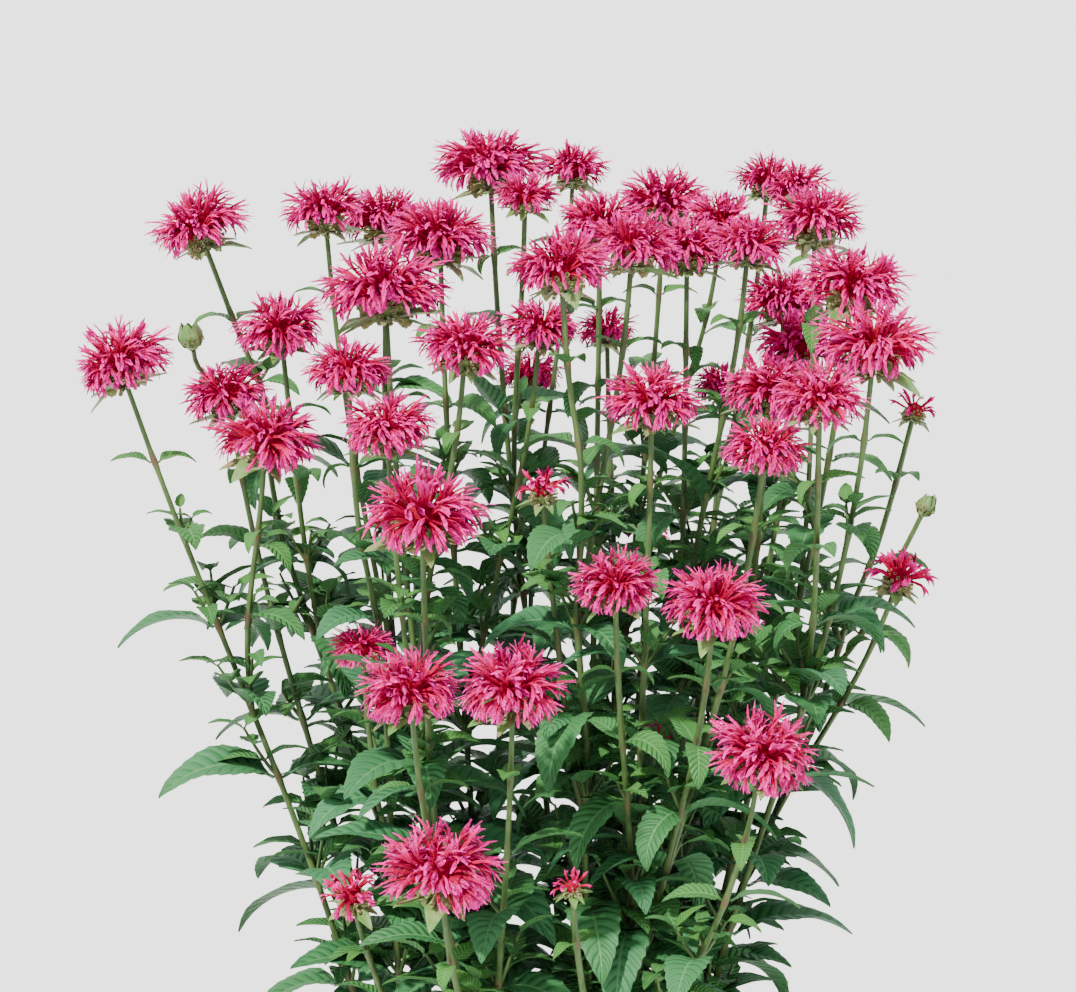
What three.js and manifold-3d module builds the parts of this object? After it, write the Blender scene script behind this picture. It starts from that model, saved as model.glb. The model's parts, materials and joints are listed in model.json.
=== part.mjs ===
// A potted bee balm: square leafy stems rise in six clumps from the potting mix of a plain clay pot, and
// each ends in a green cup of calyces with its bracts and a shaggy pink bloom.
// Millimetres, +Z up, origin at the middle of the pot's underside. The front of the plant faces -Y.
import * as THREE from "three";
import { mergeVertices } from "three/addons/utils/BufferGeometryUtils.js";
import Module from "manifold-3d";

const wasm = await Module();
wasm.setup();

// Driving dimensions

const POT = {
  height: 250,
  rimRadius: 152,
  rimHeight: 36,
  rimProud: 8,
  footRadius: 104,
  wall: 9,
  floor: 12,
  sides: 24,
  drainRadius: 8,
  drainCircle: 55,
  drains: 4,
};
const SOIL = { top: 222, edge: 4, gap: 0.35, holeDepth: 26 };
const CROWN = { radius: 21, sides: 8, above: 5, ring: 12.5 };
const STEM = { foot: 2.7, top: 1.9, points: 12, apart: 9, clearOfBloom: 8, rounds: 60, stray: 1.5 };
const LEAF = {
  firstBelow: 44,
  spacing: 66,
  lowest: 60,
  longest: 84,
  shortest: 36,
  least: 66,
  broad: 72,
  knotHigh: 4.4,
  slender: 0.45,
  thick: 1.1,
  fold: 0.22,
  clear: 5,
  clearStem: 8.5,
  clearLeaf: 9.5,
  clearSame: 8.5,
};
// Where along a leaf its place is tested, and how it turns sideways, sags and shrinks to keep clear.
const LEAF_SECTIONS = [0.36, 0.7];
const LEAF_SHARES = [0.12, 0.24, 0.36, 0.5, 0.64, 0.78, 0.9, 1];
const LEAF_TRIES = [
  [0, 0, 1], [0, 0.5, 1], [0.35, 0.1, 1], [-0.35, 0.1, 1], [0, -0.4, 0.95], [0.6, 0.3, 0.9], [-0.6, 0.3, 0.9],
  [0, 0.2, 0.8], [0.4, 0.8, 0.8], [-0.4, 0.8, 0.8], [0, -0.6, 0.75], [0.7, 0, 0.65], [-0.7, 0, 0.65], [0, 0.9, 0.6],
];
const CUP = { wide: 0.36, top: 0.3, high: 0.38, sides: 6, bract: 0.74, bractHigh: 3 };
const BLOOM = {
  around: 5,
  gap: 0.35,
  core: 0.29,
  domeHigh: 0.4,
  seat: 0.16,
  high: 0.8,
  low: 0.62,
  under: 0.85,
  wide: 0.16,
  deep: 0.1,
  side: 1.2,
};
// The two whorls of florets, drooping and spreading: how far each floret tilts up, and how far it arches.
const WHORLS = [
  { tilt: -0.6, arch: 0.24 },
  { tilt: 0.32, arch: 0.1 },
];

// How the plant is seen from the front in the reference picture: the picture's middle in pixels, how far
// the viewer is from the point they look at, how steeply they look down, and a pixel's size at that point.
const VIEW = { middle: [538, 496], distance: 1700, down: radians(8), pixel: 0.64, aim: [0, 0, 640] };

// The clumps, by where each one's crown stands in the potting mix.
const CLUMPS = [
  { name: "leafy_clump_left", crown: [-84, -22] },
  { name: "leafy_clump_back_left", crown: [-48, 60] },
  { name: "leafy_clump_front_left", crown: [-32, -86] },
  { name: "leafy_clump_back_right", crown: [34, 74] },
  { name: "leafy_clump_front_right", crown: [42, -74] },
  { name: "leafy_clump_right", crown: [86, 6] },
];

// The blooms. at: the pixel of the reference picture where a bloom's middle shows, and wide: its width in
// pixels there. depth: how far it stands behind the pot's axis. lean: how much of its stem's slope the
// bloom keeps. from: the bloom whose stem it branches off, at the share of that stem given by join.
const BLOOMS = [
  { at: [119, 363], depth: -50, wide: 100, clump: 0, lean: 1.0 },
  { at: [228, 395], depth: 30, wide: 88, clump: 0, lean: 0.6 },
  { at: [265, 437], depth: -80, wide: 104, clump: 0, lean: 0.9, from: 0, join: 0.55 },
  { at: [348, 370], depth: -95, wide: 84, clump: 0 },
  { at: [362, 648], depth: -85, wide: 62, clump: 0, lean: 0.7, from: 3, join: 0.4 },
  { at: [351, 893], depth: -135, wide: 70, clump: 0, lean: 0.8, young: true },
  { at: [202, 224], depth: 40, wide: 94, clump: 1, lean: 0.6 },
  { at: [325, 212], depth: 30, wide: 84, clump: 1 },
  { at: [384, 220], depth: 105, wide: 88, clump: 1, from: 7, join: 0.5 },
  { at: [440, 238], depth: 25, wide: 104, clump: 1 },
  { at: [280, 328], depth: -20, wide: 88, clump: 1, lean: 0.8, from: 6, join: 0.5 },
  { at: [540, 327], depth: -20, wide: 74, clump: 1, from: 9, join: 0.4 },
  { at: [530, 374], depth: 130, wide: 64, clump: 1 },
  { at: [385, 290], depth: -65, wide: 122, clump: 2 },
  { at: [387, 428], depth: -155, wide: 90, clump: 2 },
  { at: [465, 346], depth: -115, wide: 92, clump: 2, from: 13, join: 0.55 },
  { at: [422, 513], depth: -190, wide: 118, clump: 2, from: 14, join: 0.45 },
  { at: [410, 688], depth: -205, wide: 100, clump: 2 },
  { at: [513, 686], depth: -215, wide: 106, clump: 2 },
  { at: [440, 868], depth: -230, wide: 120, clump: 2 },
  { at: [490, 165], depth: 60, wide: 104, clump: 3 },
  { at: [573, 170], depth: 130, wide: 70, clump: 3, from: 20, join: 0.5 },
  { at: [525, 196], depth: 5, wide: 62, clump: 3, from: 20, join: 0.65 },
  { at: [600, 224], depth: 25, wide: 88, clump: 3 },
  { at: [664, 203], depth: 115, wide: 92, clump: 3 },
  { at: [722, 222], depth: 60, wide: 80, clump: 3, from: 24, join: 0.55 },
  { at: [768, 181], depth: 135, wide: 68, clump: 3 },
  { at: [607, 331], depth: 165, wide: 60, clump: 3, lean: 0.9, from: 24, join: 0.4 },
  { at: [648, 534], depth: 60, wide: 50, clump: 3, young: true },
  { at: [562, 268], depth: -125, wide: 100, clump: 4 },
  { at: [632, 248], depth: -70, wide: 94, clump: 4, from: 29, join: 0.55 },
  { at: [652, 400], depth: -140, wide: 94, clump: 4 },
  { at: [543, 488], depth: -110, wide: 62, clump: 4, young: true, from: 29, join: 0.45 },
  { at: [615, 582], depth: -190, wide: 86, clump: 4, from: 31, join: 0.35 },
  { at: [714, 602], depth: -215, wide: 102, clump: 4, from: 37, join: 0.4 },
  { at: [762, 752], depth: -225, wide: 108, clump: 4 },
  { at: [572, 885], depth: -215, wide: 44, clump: 4, young: true },
  { at: [765, 447], depth: -170, wide: 86, clump: 4 },
  { at: [655, 737], depth: -70, wide: 44, clump: 4, young: true },
  { at: [687, 250], depth: -10, wide: 88, clump: 5 },
  { at: [748, 245], depth: -50, wide: 80, clump: 5, from: 39, join: 0.6 },
  { at: [804, 188], depth: 50, wide: 66, clump: 5 },
  { at: [815, 222], depth: -22, wide: 94, clump: 5, from: 43, join: 0.7 },
  { at: [852, 285], depth: -80, wide: 104, clump: 5 },
  { at: [785, 301], depth: 60, wide: 88, clump: 5, from: 41, join: 0.6 },
  { at: [874, 345], depth: -150, wide: 110, clump: 5, lean: 0.3 },
  { at: [800, 345], depth: 4, wide: 90, clump: 5 },
  { at: [768, 387], depth: -130, wide: 88, clump: 5, from: 46, join: 0.5 },
  { at: [820, 397], depth: -205, wide: 92, clump: 5, lean: 0.3, from: 45, join: 0.6 },
  { at: [722, 385], depth: 90, wide: 60, clump: 5 },
  { at: [914, 408], depth: -20, wide: 52, clump: 5, young: true },
  { at: [900, 575], depth: -75, wide: 72, clump: 5, lean: 0.7, young: true, from: 50, join: 0.45 },
  { at: [188, 338], depth: 45, wide: 50, clump: 1, lean: 0.6, bud: true, from: 6, join: 0.85 },
  { at: [926, 506], depth: -25, wide: 46, clump: 5, lean: 0.9, bud: true, from: 50, join: 0.7 },
];

// Small vector helpers on plain arrays

function radians(degrees) {
  return (degrees * Math.PI) / 180;
}
const add = (a, b) => [a[0] + b[0], a[1] + b[1], a[2] + b[2]];
const sub = (a, b) => [a[0] - b[0], a[1] - b[1], a[2] - b[2]];
const times = (a, k) => [a[0] * k, a[1] * k, a[2] * k];
const dot = (a, b) => a[0] * b[0] + a[1] * b[1] + a[2] * b[2];
const cross = (a, b) => [a[1] * b[2] - a[2] * b[1], a[2] * b[0] - a[0] * b[2], a[0] * b[1] - a[1] * b[0]];
const size = (a) => Math.sqrt(dot(a, a));
const unit = (a) => times(a, 1 / size(a));
const between = (a, b, k) => add(times(a, 1 - k), times(b, k));
const UP = [0, 0, 1];

// A seeded draw between low and high. The same seed always gives the same plant.
function seeded(seed) {
  const span = 4294967296;
  let state = (seed * 48271 + 11) % span;
  return (low, high) => {
    state = (state * 1664525 + 1013904223) % span;
    return low + ((high - low) * state) / span;
  };
}

// Where a pixel of the reference picture lies in space, at a depth behind the pot's axis, and how much
// larger than at the aim a pixel is there.
function placeOf(pixel, depth) {
  const ahead = [0, Math.cos(VIEW.down), -Math.sin(VIEW.down)];
  const upward = [0, Math.sin(VIEW.down), Math.cos(VIEW.down)];
  const eye = sub(VIEW.aim, times(ahead, VIEW.distance));
  const across = (pixel[0] - VIEW.middle[0]) * VIEW.pixel;
  const above = (VIEW.middle[1] - pixel[1]) * VIEW.pixel;
  const ray = add(add(times(ahead, VIEW.distance), [across, 0, 0]), times(upward, above));
  const reach = (depth - eye[1]) / ray[1];
  return { point: add(eye, times(ray, reach)), reach };
}

// The blooms' places and sizes, and the stems' smooth paths from crown to cup

function bloomPlaces() {
  return BLOOMS.map((bloom) => {
    const { point, reach } = placeOf(bloom.at, bloom.depth);
    const radius = (bloom.wide / 2) * VIEW.pixel * reach;
    return { ...bloom, middle: point, radius };
  });
}

// A cubic curve through its two ends, leaving along one direction and arriving along the other.
function curvePoint(start, leaving, arriving, end, share) {
  const pull = size(sub(end, start)) * 0.36;
  const first = add(start, times(leaving, pull));
  const second = sub(end, times(arriving, pull));
  const rest = 1 - share;
  const near = add(times(start, rest ** 3), times(first, 3 * rest * rest * share));
  return add(near, add(times(second, 3 * rest * share * share), times(end, share ** 3)));
}

function stemPath(start, leaving, bloom, slope) {
  const arriving = unit(add(times(slope, bloom.lean ?? 0.45), times(UP, 1 - (bloom.lean ?? 0.45))));
  const end = sub(bloom.middle, times(arriving, (BLOOM.seat + CUP.high) * bloom.radius));
  const points = [];
  for (let i = 0; i <= STEM.points; i += 1) {
    points.push(curvePoint(start, leaving, arriving, end, i / STEM.points));
  }
  return points;
}

function stemPaths(blooms) {
  const paths = blooms.map(() => null);
  const roots = CLUMPS.map((_, clump) => blooms.filter((b) => b.clump === clump && b.from === undefined));
  blooms.forEach((bloom, index) => {
    if (bloom.from !== undefined) return;
    const crown = CLUMPS[bloom.clump].crown;
    const ring = roots[bloom.clump];
    // The stems stand round the crown in the order of the directions that they lean to.
    const bearing = (b) => Math.atan2(b.middle[1] - crown[1], b.middle[0] - crown[0]);
    const sorted = [...ring].sort((a, b) => bearing(a) - bearing(b));
    const turn = bearing(sorted[0]) + (2 * Math.PI * sorted.indexOf(bloom)) / sorted.length;
    const foot = [crown[0] + CROWN.ring * Math.cos(turn), crown[1] + CROWN.ring * Math.sin(turn), SOIL.top - 3];
    const slope = unit(sub(bloom.middle, foot));
    const leaving = unit(add(times(slope, 0.6), times(UP, 0.4)));
    paths[index] = stemPath(foot, leaving, bloom, slope);
  });
  blooms.forEach((bloom, index) => {
    if (bloom.from === undefined) return;
    const parent = paths[bloom.from];
    const knot = Math.round(bloom.join * STEM.points);
    const start = parent[knot];
    const slope = unit(sub(bloom.middle, start));
    const leaving = unit(add(slope, unit(sub(parent[knot + 1], start))));
    paths[index] = stemPath(start, leaving, bloom, slope);
  });
  return paths;
}

// The nearest points of two straight pieces, as shares along each.
function nearest(a0, a1, b0, b1) {
  const a = sub(a1, a0);
  const b = sub(b1, b0);
  const gap = sub(a0, b0);
  const aa = dot(a, a);
  const bb = dot(b, b);
  const ab = dot(a, b);
  const spread = aa * bb - ab * ab;
  const clamp = (value) => Math.min(1, Math.max(0, value));
  let s = spread > 1e-9 ? clamp((ab * dot(b, gap) - bb * dot(a, gap)) / spread) : 0.5;
  const t = clamp((ab * s + dot(b, gap)) / bb);
  s = clamp((ab * t - dot(a, gap)) / aa);
  return [s, t];
}

// Whether two pieces of stem meet on purpose: one branch leaving the other, two from one knot or crown.
function grownTogether(blooms, first, i, second, j) {
  const low = Math.max(i, j) <= 1;
  if (blooms[first].clump === blooms[second].clump && low) return true;
  const knotOf = (index) => Math.round((blooms[index].join ?? 0) * STEM.points);
  if (blooms[first].from === second) return i <= 1 && Math.abs(j + 0.5 - knotOf(first)) < 2;
  if (blooms[second].from === first) return j <= 1 && Math.abs(i + 0.5 - knotOf(second)) < 2;
  return false;
}

// Stems lean away from each other and from the blooms, so that none crosses another.
function spreadStems(blooms, paths) {
  const last = STEM.points;
  for (let round = 0; round < STEM.rounds; round += 1) {
    const pushes = paths.map((path) => path.map(() => [0, 0, 0]));
    const push = (index, piece, share, way) => {
      pushes[index][piece] = add(pushes[index][piece], times(way, 1 - share));
      pushes[index][piece + 1] = add(pushes[index][piece + 1], times(way, share));
    };
    for (let first = 0; first < paths.length; first += 1) {
      for (let second = first + 1; second < paths.length; second += 1) {
        for (let i = 0; i < last; i += 1) {
          for (let j = 0; j < last; j += 1) {
            const [a0, a1] = [paths[first][i], paths[first][i + 1]];
            const [b0, b1] = [paths[second][j], paths[second][j + 1]];
            const far = Math.abs(a0[0] - b0[0]) > 75 || Math.abs(a0[1] - b0[1]) > 75 || Math.abs(a0[2] - b0[2]) > 110;
            if (far || grownTogether(blooms, first, i, second, j)) continue;
            const [s, t] = nearest(a0, a1, b0, b1);
            const away = sub(between(a0, a1, s), between(b0, b1, t));
            const lack = STEM.apart - size(away);
            if (lack <= 0) continue;
            const way = times([away[0], away[1], 0], (0.5 * lack) / Math.max(size(away), 0.5));
            push(first, i, s, way);
            push(second, j, t, times(way, -1));
          }
        }
      }
      blooms.forEach((bloom, index) => {
        if (index === first) return;
        for (let i = 0; i < last; i += 1) {
          const a0 = paths[first][i];
          const a = sub(paths[first][i + 1], a0);
          const share = Math.min(1, Math.max(0, dot(sub(bloom.middle, a0), a) / dot(a, a)));
          const away = sub(add(a0, times(a, share)), bloom.middle);
          const lack = bloom.radius + STEM.clearOfBloom - size(away);
          if (lack <= 0) continue;
          push(first, i, share, times([away[0], away[1], 0], lack / Math.max(size(away), 1)));
        }
      });
    }
    paths.forEach((path, index) => {
      for (let i = 1; i < last; i += 1) {
        const eased = add(times(pushes[index][i], 0.6), times(add(pushes[index][i - 1], pushes[index][i + 1]), 0.2));
        path[i] = add(path[i], eased);
      }
    });
    blooms.forEach((bloom, index) => {
      if (bloom.from === undefined) return;
      paths[index][0] = paths[bloom.from][Math.round(bloom.join * STEM.points)];
    });
  }
  return paths;
}

// Points along a stem, measured back from its cup

function lengths(path) {
  const sums = [0];
  for (let i = path.length - 1; i > 0; i -= 1) sums.push(sums[sums.length - 1] + size(sub(path[i], path[i - 1])));
  return sums;
}

function stemAt(path, sums, back) {
  let i = 1;
  while (i < sums.length - 1 && sums[i] < back) i += 1;
  const share = (back - sums[i - 1]) / (sums[i] - sums[i - 1]);
  const upper = path[path.length - i];
  const lower = path[path.length - 1 - i];
  return { point: between(upper, lower, share), along: unit(sub(upper, lower)) };
}

function stemRadius(bloom, share) {
  const foot = bloom.from === undefined ? STEM.foot : STEM.top + 0.3;
  return foot + (STEM.top - foot) * share;
}

// Across and forward directions of a stem's square section, turned about the stem.
function squareAxes(alongStem, turn) {
  const lead = [Math.cos(turn), Math.sin(turn), 0];
  const across = unit(sub(lead, times(alongStem, dot(lead, alongStem))));
  return [across, cross(alongStem, across)];
}

// A leaf's midrib: it leaves the stem, rises, and bends down along an arc. Shares run from 0 to 1.
function leafPoint(leaf, share) {
  const bend = leaf.droop;
  const turned = leaf.rise - bend * share;
  const ahead = (leaf.long * (Math.sin(leaf.rise) - Math.sin(turned))) / bend;
  const above = (leaf.long * (Math.cos(turned) - Math.cos(leaf.rise))) / bend;
  return add(leaf.root, add(times(leaf.out, ahead), times(UP, above)));
}

function leafAxes(leaf, share) {
  const turned = leaf.rise - leaf.droop * share;
  const ahead = add(times(leaf.out, Math.cos(turned)), times(UP, Math.sin(turned)));
  const flat = unit(cross(leaf.out, UP));
  const normal = cross(flat, ahead);
  const side = add(times(flat, Math.cos(leaf.roll)), times(normal, Math.sin(leaf.roll)));
  return { ahead, side, normal: cross(side, ahead) };
}

// Half the blade's width: wide near the base, drawn out to a point.
function halfWidth(leaf, share) {
  const rounded = Math.sin(Math.PI * Math.pow(share, 0.62));
  return leaf.long * LEAF.slender * 0.5 * Math.pow(Math.max(rounded, 0), 0.8);
}

function leafSamples(leaf) {
  const samples = [];
  for (const share of LEAF_SHARES) {
    const middle = leafPoint(leaf, share);
    const { side, normal } = leafAxes(leaf, share);
    const half = halfWidth(leaf, share);
    const edge = times(normal, half * LEAF.fold);
    samples.push(middle, add(add(middle, times(side, half)), edge), add(sub(middle, times(side, half)), edge));
  }
  return samples;
}

// Whether a leaf keeps clear of every bloom, of all other stems and of the leaves placed before it.
function leafIsClear(leaf, samples, placed) {
  if (samples.some((sample) => sample[2] < POT.height + LEAF.clear)) return false;
  for (const bloom of placed.blooms) {
    for (const sample of samples) {
      const away = sub(sample, bloom.middle);
      const wide = bloom.radius + LEAF.clear;
      const high = away[2] > 0 ? BLOOM.high * bloom.radius + LEAF.clear : BLOOM.under * bloom.radius + LEAF.clear;
      const flat = (away[0] * away[0] + away[1] * away[1]) / (wide * wide);
      if (flat + (away[2] * away[2]) / (high * high) < 1) return false;
    }
  }
  for (const stem of placed.stems) {
    const need = stem.clump === leaf.clump ? LEAF.clearSame : LEAF.clearStem;
    for (let i = 0; i < STEM.points; i += 1) {
      const a = sub(stem.path[i + 1], stem.path[i]);
      for (let k = stem.index === leaf.stem ? 6 : 0; k < samples.length; k += 1) {
        const from = sub(samples[k], stem.path[i]);
        if (Math.abs(from[2]) > 140) break;
        const share = Math.min(1, Math.max(0, dot(from, a) / dot(a, a)));
        if (size(sub(from, times(a, share))) < need) return false;
      }
    }
  }
  for (const other of placed.leaves) {
    const need = other.clump === leaf.clump ? LEAF.clearSame : LEAF.clearLeaf;
    if (size(sub(other.root, leaf.root)) > other.long + leaf.long + need) continue;
    for (const sample of samples) {
      for (const taken of other.samples) {
        if (size(sub(sample, taken)) < need) return false;
      }
    }
  }
  return true;
}

// Opposite pairs of leaves, each pair at right angles to the next, small below the bloom and larger lower.
function growLeaves(blooms, paths) {
  const placed = { blooms, leaves: [], stems: paths.map((path, index) => ({ path, index, clump: blooms[index].clump })) };
  const turns = [];
  blooms.forEach((bloom, stem) => {
    const draw = seeded(stem + 7);
    const path = paths[stem];
    const sums = lengths(path);
    const whole = sums[sums.length - 1];
    const turn = draw(0, Math.PI / 2);
    turns.push(turn);
    let back = LEAF.firstBelow * (0.5 + bloom.radius / 60) * draw(0.85, 1.15);
    for (let pair = 0; pair < 14; pair += 1) {
      const { point, along } = stemAt(path, sums, back);
      const ends = bloom.from === undefined ? point[2] < SOIL.top + LEAF.lowest : back > whole - 22;
      if (ends) break;
      const grown = Math.min(1, back / 330);
      const full = LEAF.shortest + (LEAF.longest - LEAF.shortest) * Math.pow(grown, 0.7);
      for (const half of [0, 1]) {
        const face = (pair % 2) + 2 * half;
        const [across, forward] = squareAxes(along, turn);
        const angle = (Math.PI / 2) * face;
        const facing = add(times(across, Math.cos(angle)), times(forward, Math.sin(angle)));
        const long = full * draw(0.86, 1.14);
        const droop = draw(0.9, 1.5);
        const rise = draw(0.35, 0.8);
        const roll = draw(-0.3, 0.3);
        for (const [sideways, sag, shrink] of LEAF_TRIES) {
          const flat = unit([facing[0], facing[1], 0]);
          const out = [
            flat[0] * Math.cos(sideways) - flat[1] * Math.sin(sideways),
            flat[0] * Math.sin(sideways) + flat[1] * Math.cos(sideways),
            0,
          ];
          const leaf = {
            clump: bloom.clump, stem, pair, face, back, out, roll,
            root: add(point, times(out, stemRadius(bloom, 1 - back / whole))),
            rise: rise - sag * 0.5, droop: droop + sag, long: long * shrink,
          };
          const samples = leafSamples(leaf);
          if (!leafIsClear(leaf, samples, placed)) continue;
          placed.leaves.push({ ...leaf, samples });
          break;
        }
      }
      back += LEAF.spacing * draw(0.85, 1.15) * (0.75 + 0.25 * grown);
    }
  });
  return { leaves: placed.leaves, turns };
}

// A closed surface built loop by loop. Loops run anticlockwise as seen from where the surface grows to.

class Skin {
  constructor() {
    this.points = [];
    this.faces = [];
  }

  loop(points) {
    return points.map((point) => this.points.push(point) - 1);
  }

  face(a, b, c) {
    this.faces.push(a, b, c);
  }

  // A band between two loops of any counts: the loop that lags behind takes the next step.
  band(near, far) {
    let i = 0;
    let j = 0;
    while (i < near.length || j < far.length) {
      const a = near[i % near.length];
      const b = far[j % far.length];
      const nearNext = j === far.length || (i < near.length && (i + 1) * far.length <= (j + 1) * near.length);
      if (nearNext) {
        i += 1;
        this.face(a, near[i % near.length], b);
      } else {
        j += 1;
        this.face(a, far[j % far.length], b);
      }
    }
  }

  // A blade's band: left edge, underside, right edge, top. Both faces are split alike, from the edges.
  bladeBand(near, far) {
    for (let i = 0; i < 4; i += 1) {
      const [a, b, c, d] = [near[i], near[(i + 1) % 4], far[(i + 1) % 4], far[i]];
      if (i % 2 === 0) {
        this.face(a, b, c);
        this.face(a, c, d);
      } else {
        this.face(a, b, d);
        this.face(b, c, d);
      }
    }
  }

  point(loop, tip) {
    const [apex] = this.loop([tip]);
    loop.forEach((corner, i) => this.face(corner, loop[(i + 1) % loop.length], apex));
  }

  close(loop) {
    for (let i = 1; i < loop.length - 1; i += 1) this.face(loop[0], loop[i], loop[i + 1]);
  }

  closeBack(loop) {
    this.close([...loop].reverse());
  }

  solid() {
    const mesh = new wasm.Mesh({
      numProp: 3,
      vertProperties: new Float32Array(this.points.flat()),
      triVerts: new Uint32Array(this.faces),
    });
    return new wasm.Manifold(mesh);
  }
}

function ringAt(point, axes, radius, sides, turned) {
  return Array.from({ length: sides }, (_, k) => {
    const angle = turned + (2 * Math.PI * k) / sides;
    const reach = add(times(axes[0], Math.cos(angle)), times(axes[1], Math.sin(angle)));
    return add(point, times(reach, radius));
  });
}

// A square stem's corners stand half a side from its faces, so a face looks along each square axis.
function squareRing(stem, back, radius) {
  const { point, along } = stemAt(stem.path, stem.sums, back);
  return ringAt(point, squareAxes(along, stem.turn), radius * Math.SQRT2, 4, -Math.PI / 4);
}

// A blade grown from one face of the stem: a folded section at each share, then its point.
function growLeaf(skin, root, leaf) {
  const [lowLeft, lowRight, highRight, highLeft] = root;
  let near = [highLeft, lowLeft, lowRight, highRight];
  const sections = leaf.long < LEAF.broad ? LEAF_SECTIONS.slice(0, 1) : LEAF_SECTIONS;
  sections.forEach((share, i) => {
    const middle = leafPoint(leaf, share);
    const { side, normal } = leafAxes(leaf, share);
    const half = times(side, halfWidth(leaf, share));
    const edge = times(normal, halfWidth(leaf, share) * LEAF.fold);
    const rib = times(normal, LEAF.thick * (1 - 0.4 * share));
    const far = skin.loop([
      add(add(middle, half), edge),
      sub(middle, rib),
      add(sub(middle, half), edge),
      middle,
    ]);
    if (i === 0) skin.band(near, far);
    else skin.bladeBand(near, far);
    near = far;
  });
  skin.point(near, leafPoint(leaf, 1));
}

// A bloom keeps on its own side of the plane that parts it from each neighbour, weighed by their sizes.
function keepsOwnSide(bloom, points) {
  return blooms.every((other) => {
    if (other === bloom) return true;
    const gap = sub(other.middle, bloom.middle);
    const apart = size(gap);
    if (apart > bloom.radius + other.radius + 30) return true;
    const share = (apart * apart + bloom.radius ** 2 - other.radius ** 2) / (2 * apart);
    return points.every((point) => dot(sub(point, bloom.middle), gap) / apart < share - BLOOM.side);
  });
}

// The four bracts under a cup, grown from the faces of the stem.
function growBract(skin, root, bloom, centre, out, alongStem) {
  let reach = CUP.bract * bloom.radius;
  let shape = null;
  for (let attempt = 0; attempt < 8; attempt += 1) {
    const tip = add(centre, add(times(out, reach), times(alongStem, -0.1 * reach)));
    const middle = add(centre, add(times(out, 0.5 * reach), times(alongStem, 0.06 * reach)));
    const side = times(cross(out, alongStem), 0.19 * CUP.bract * bloom.radius);
    shape = { tip, left: add(middle, side), right: sub(middle, side) };
    if (keepsOwnSide(bloom, [tip, shape.left, shape.right])) break;
    reach *= 0.88;
  }
  // The blade's edges start at the root's sides, so its top and underside are three triangles each.
  const [left, right, tip] = skin.loop([shape.left, shape.right, shape.tip]);
  const [lowLeft, lowRight, highRight, highLeft] = root;
  skin.face(lowLeft, lowRight, tip);
  skin.face(lowLeft, tip, left);
  skin.face(lowRight, right, tip);
  skin.face(lowRight, highRight, right);
  skin.face(highRight, tip, right);
  skin.face(highRight, highLeft, tip);
  skin.face(highLeft, left, tip);
  skin.face(highLeft, lowLeft, left);
}

// Rings are added where a straight run between two of them would stray too far from the stem's path.
function followBends(path, sums, rings) {
  for (let step = 0; step < rings.length - 1; step += 1) {
    const [lower, upper] = [rings[step].back, rings[step + 1].back];
    const from = stemAt(path, sums, lower).point;
    const to = stemAt(path, sums, upper).point;
    let worst = { stray: STEM.stray, back: null };
    for (let i = 1; i < path.length - 1; i += 1) {
      const back = sums[i];
      if (back <= upper + 6 || back >= lower - 6) continue;
      const point = path[path.length - 1 - i];
      const share = dot(sub(point, from), sub(to, from)) / dot(sub(to, from), sub(to, from));
      const stray = size(sub(point, between(from, to, share)));
      if (stray > worst.stray) worst = { stray, back };
    }
    if (worst.back !== null) {
      rings.splice(step + 1, 0, { back: worst.back });
      step -= 1;
    }
  }
}

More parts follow.
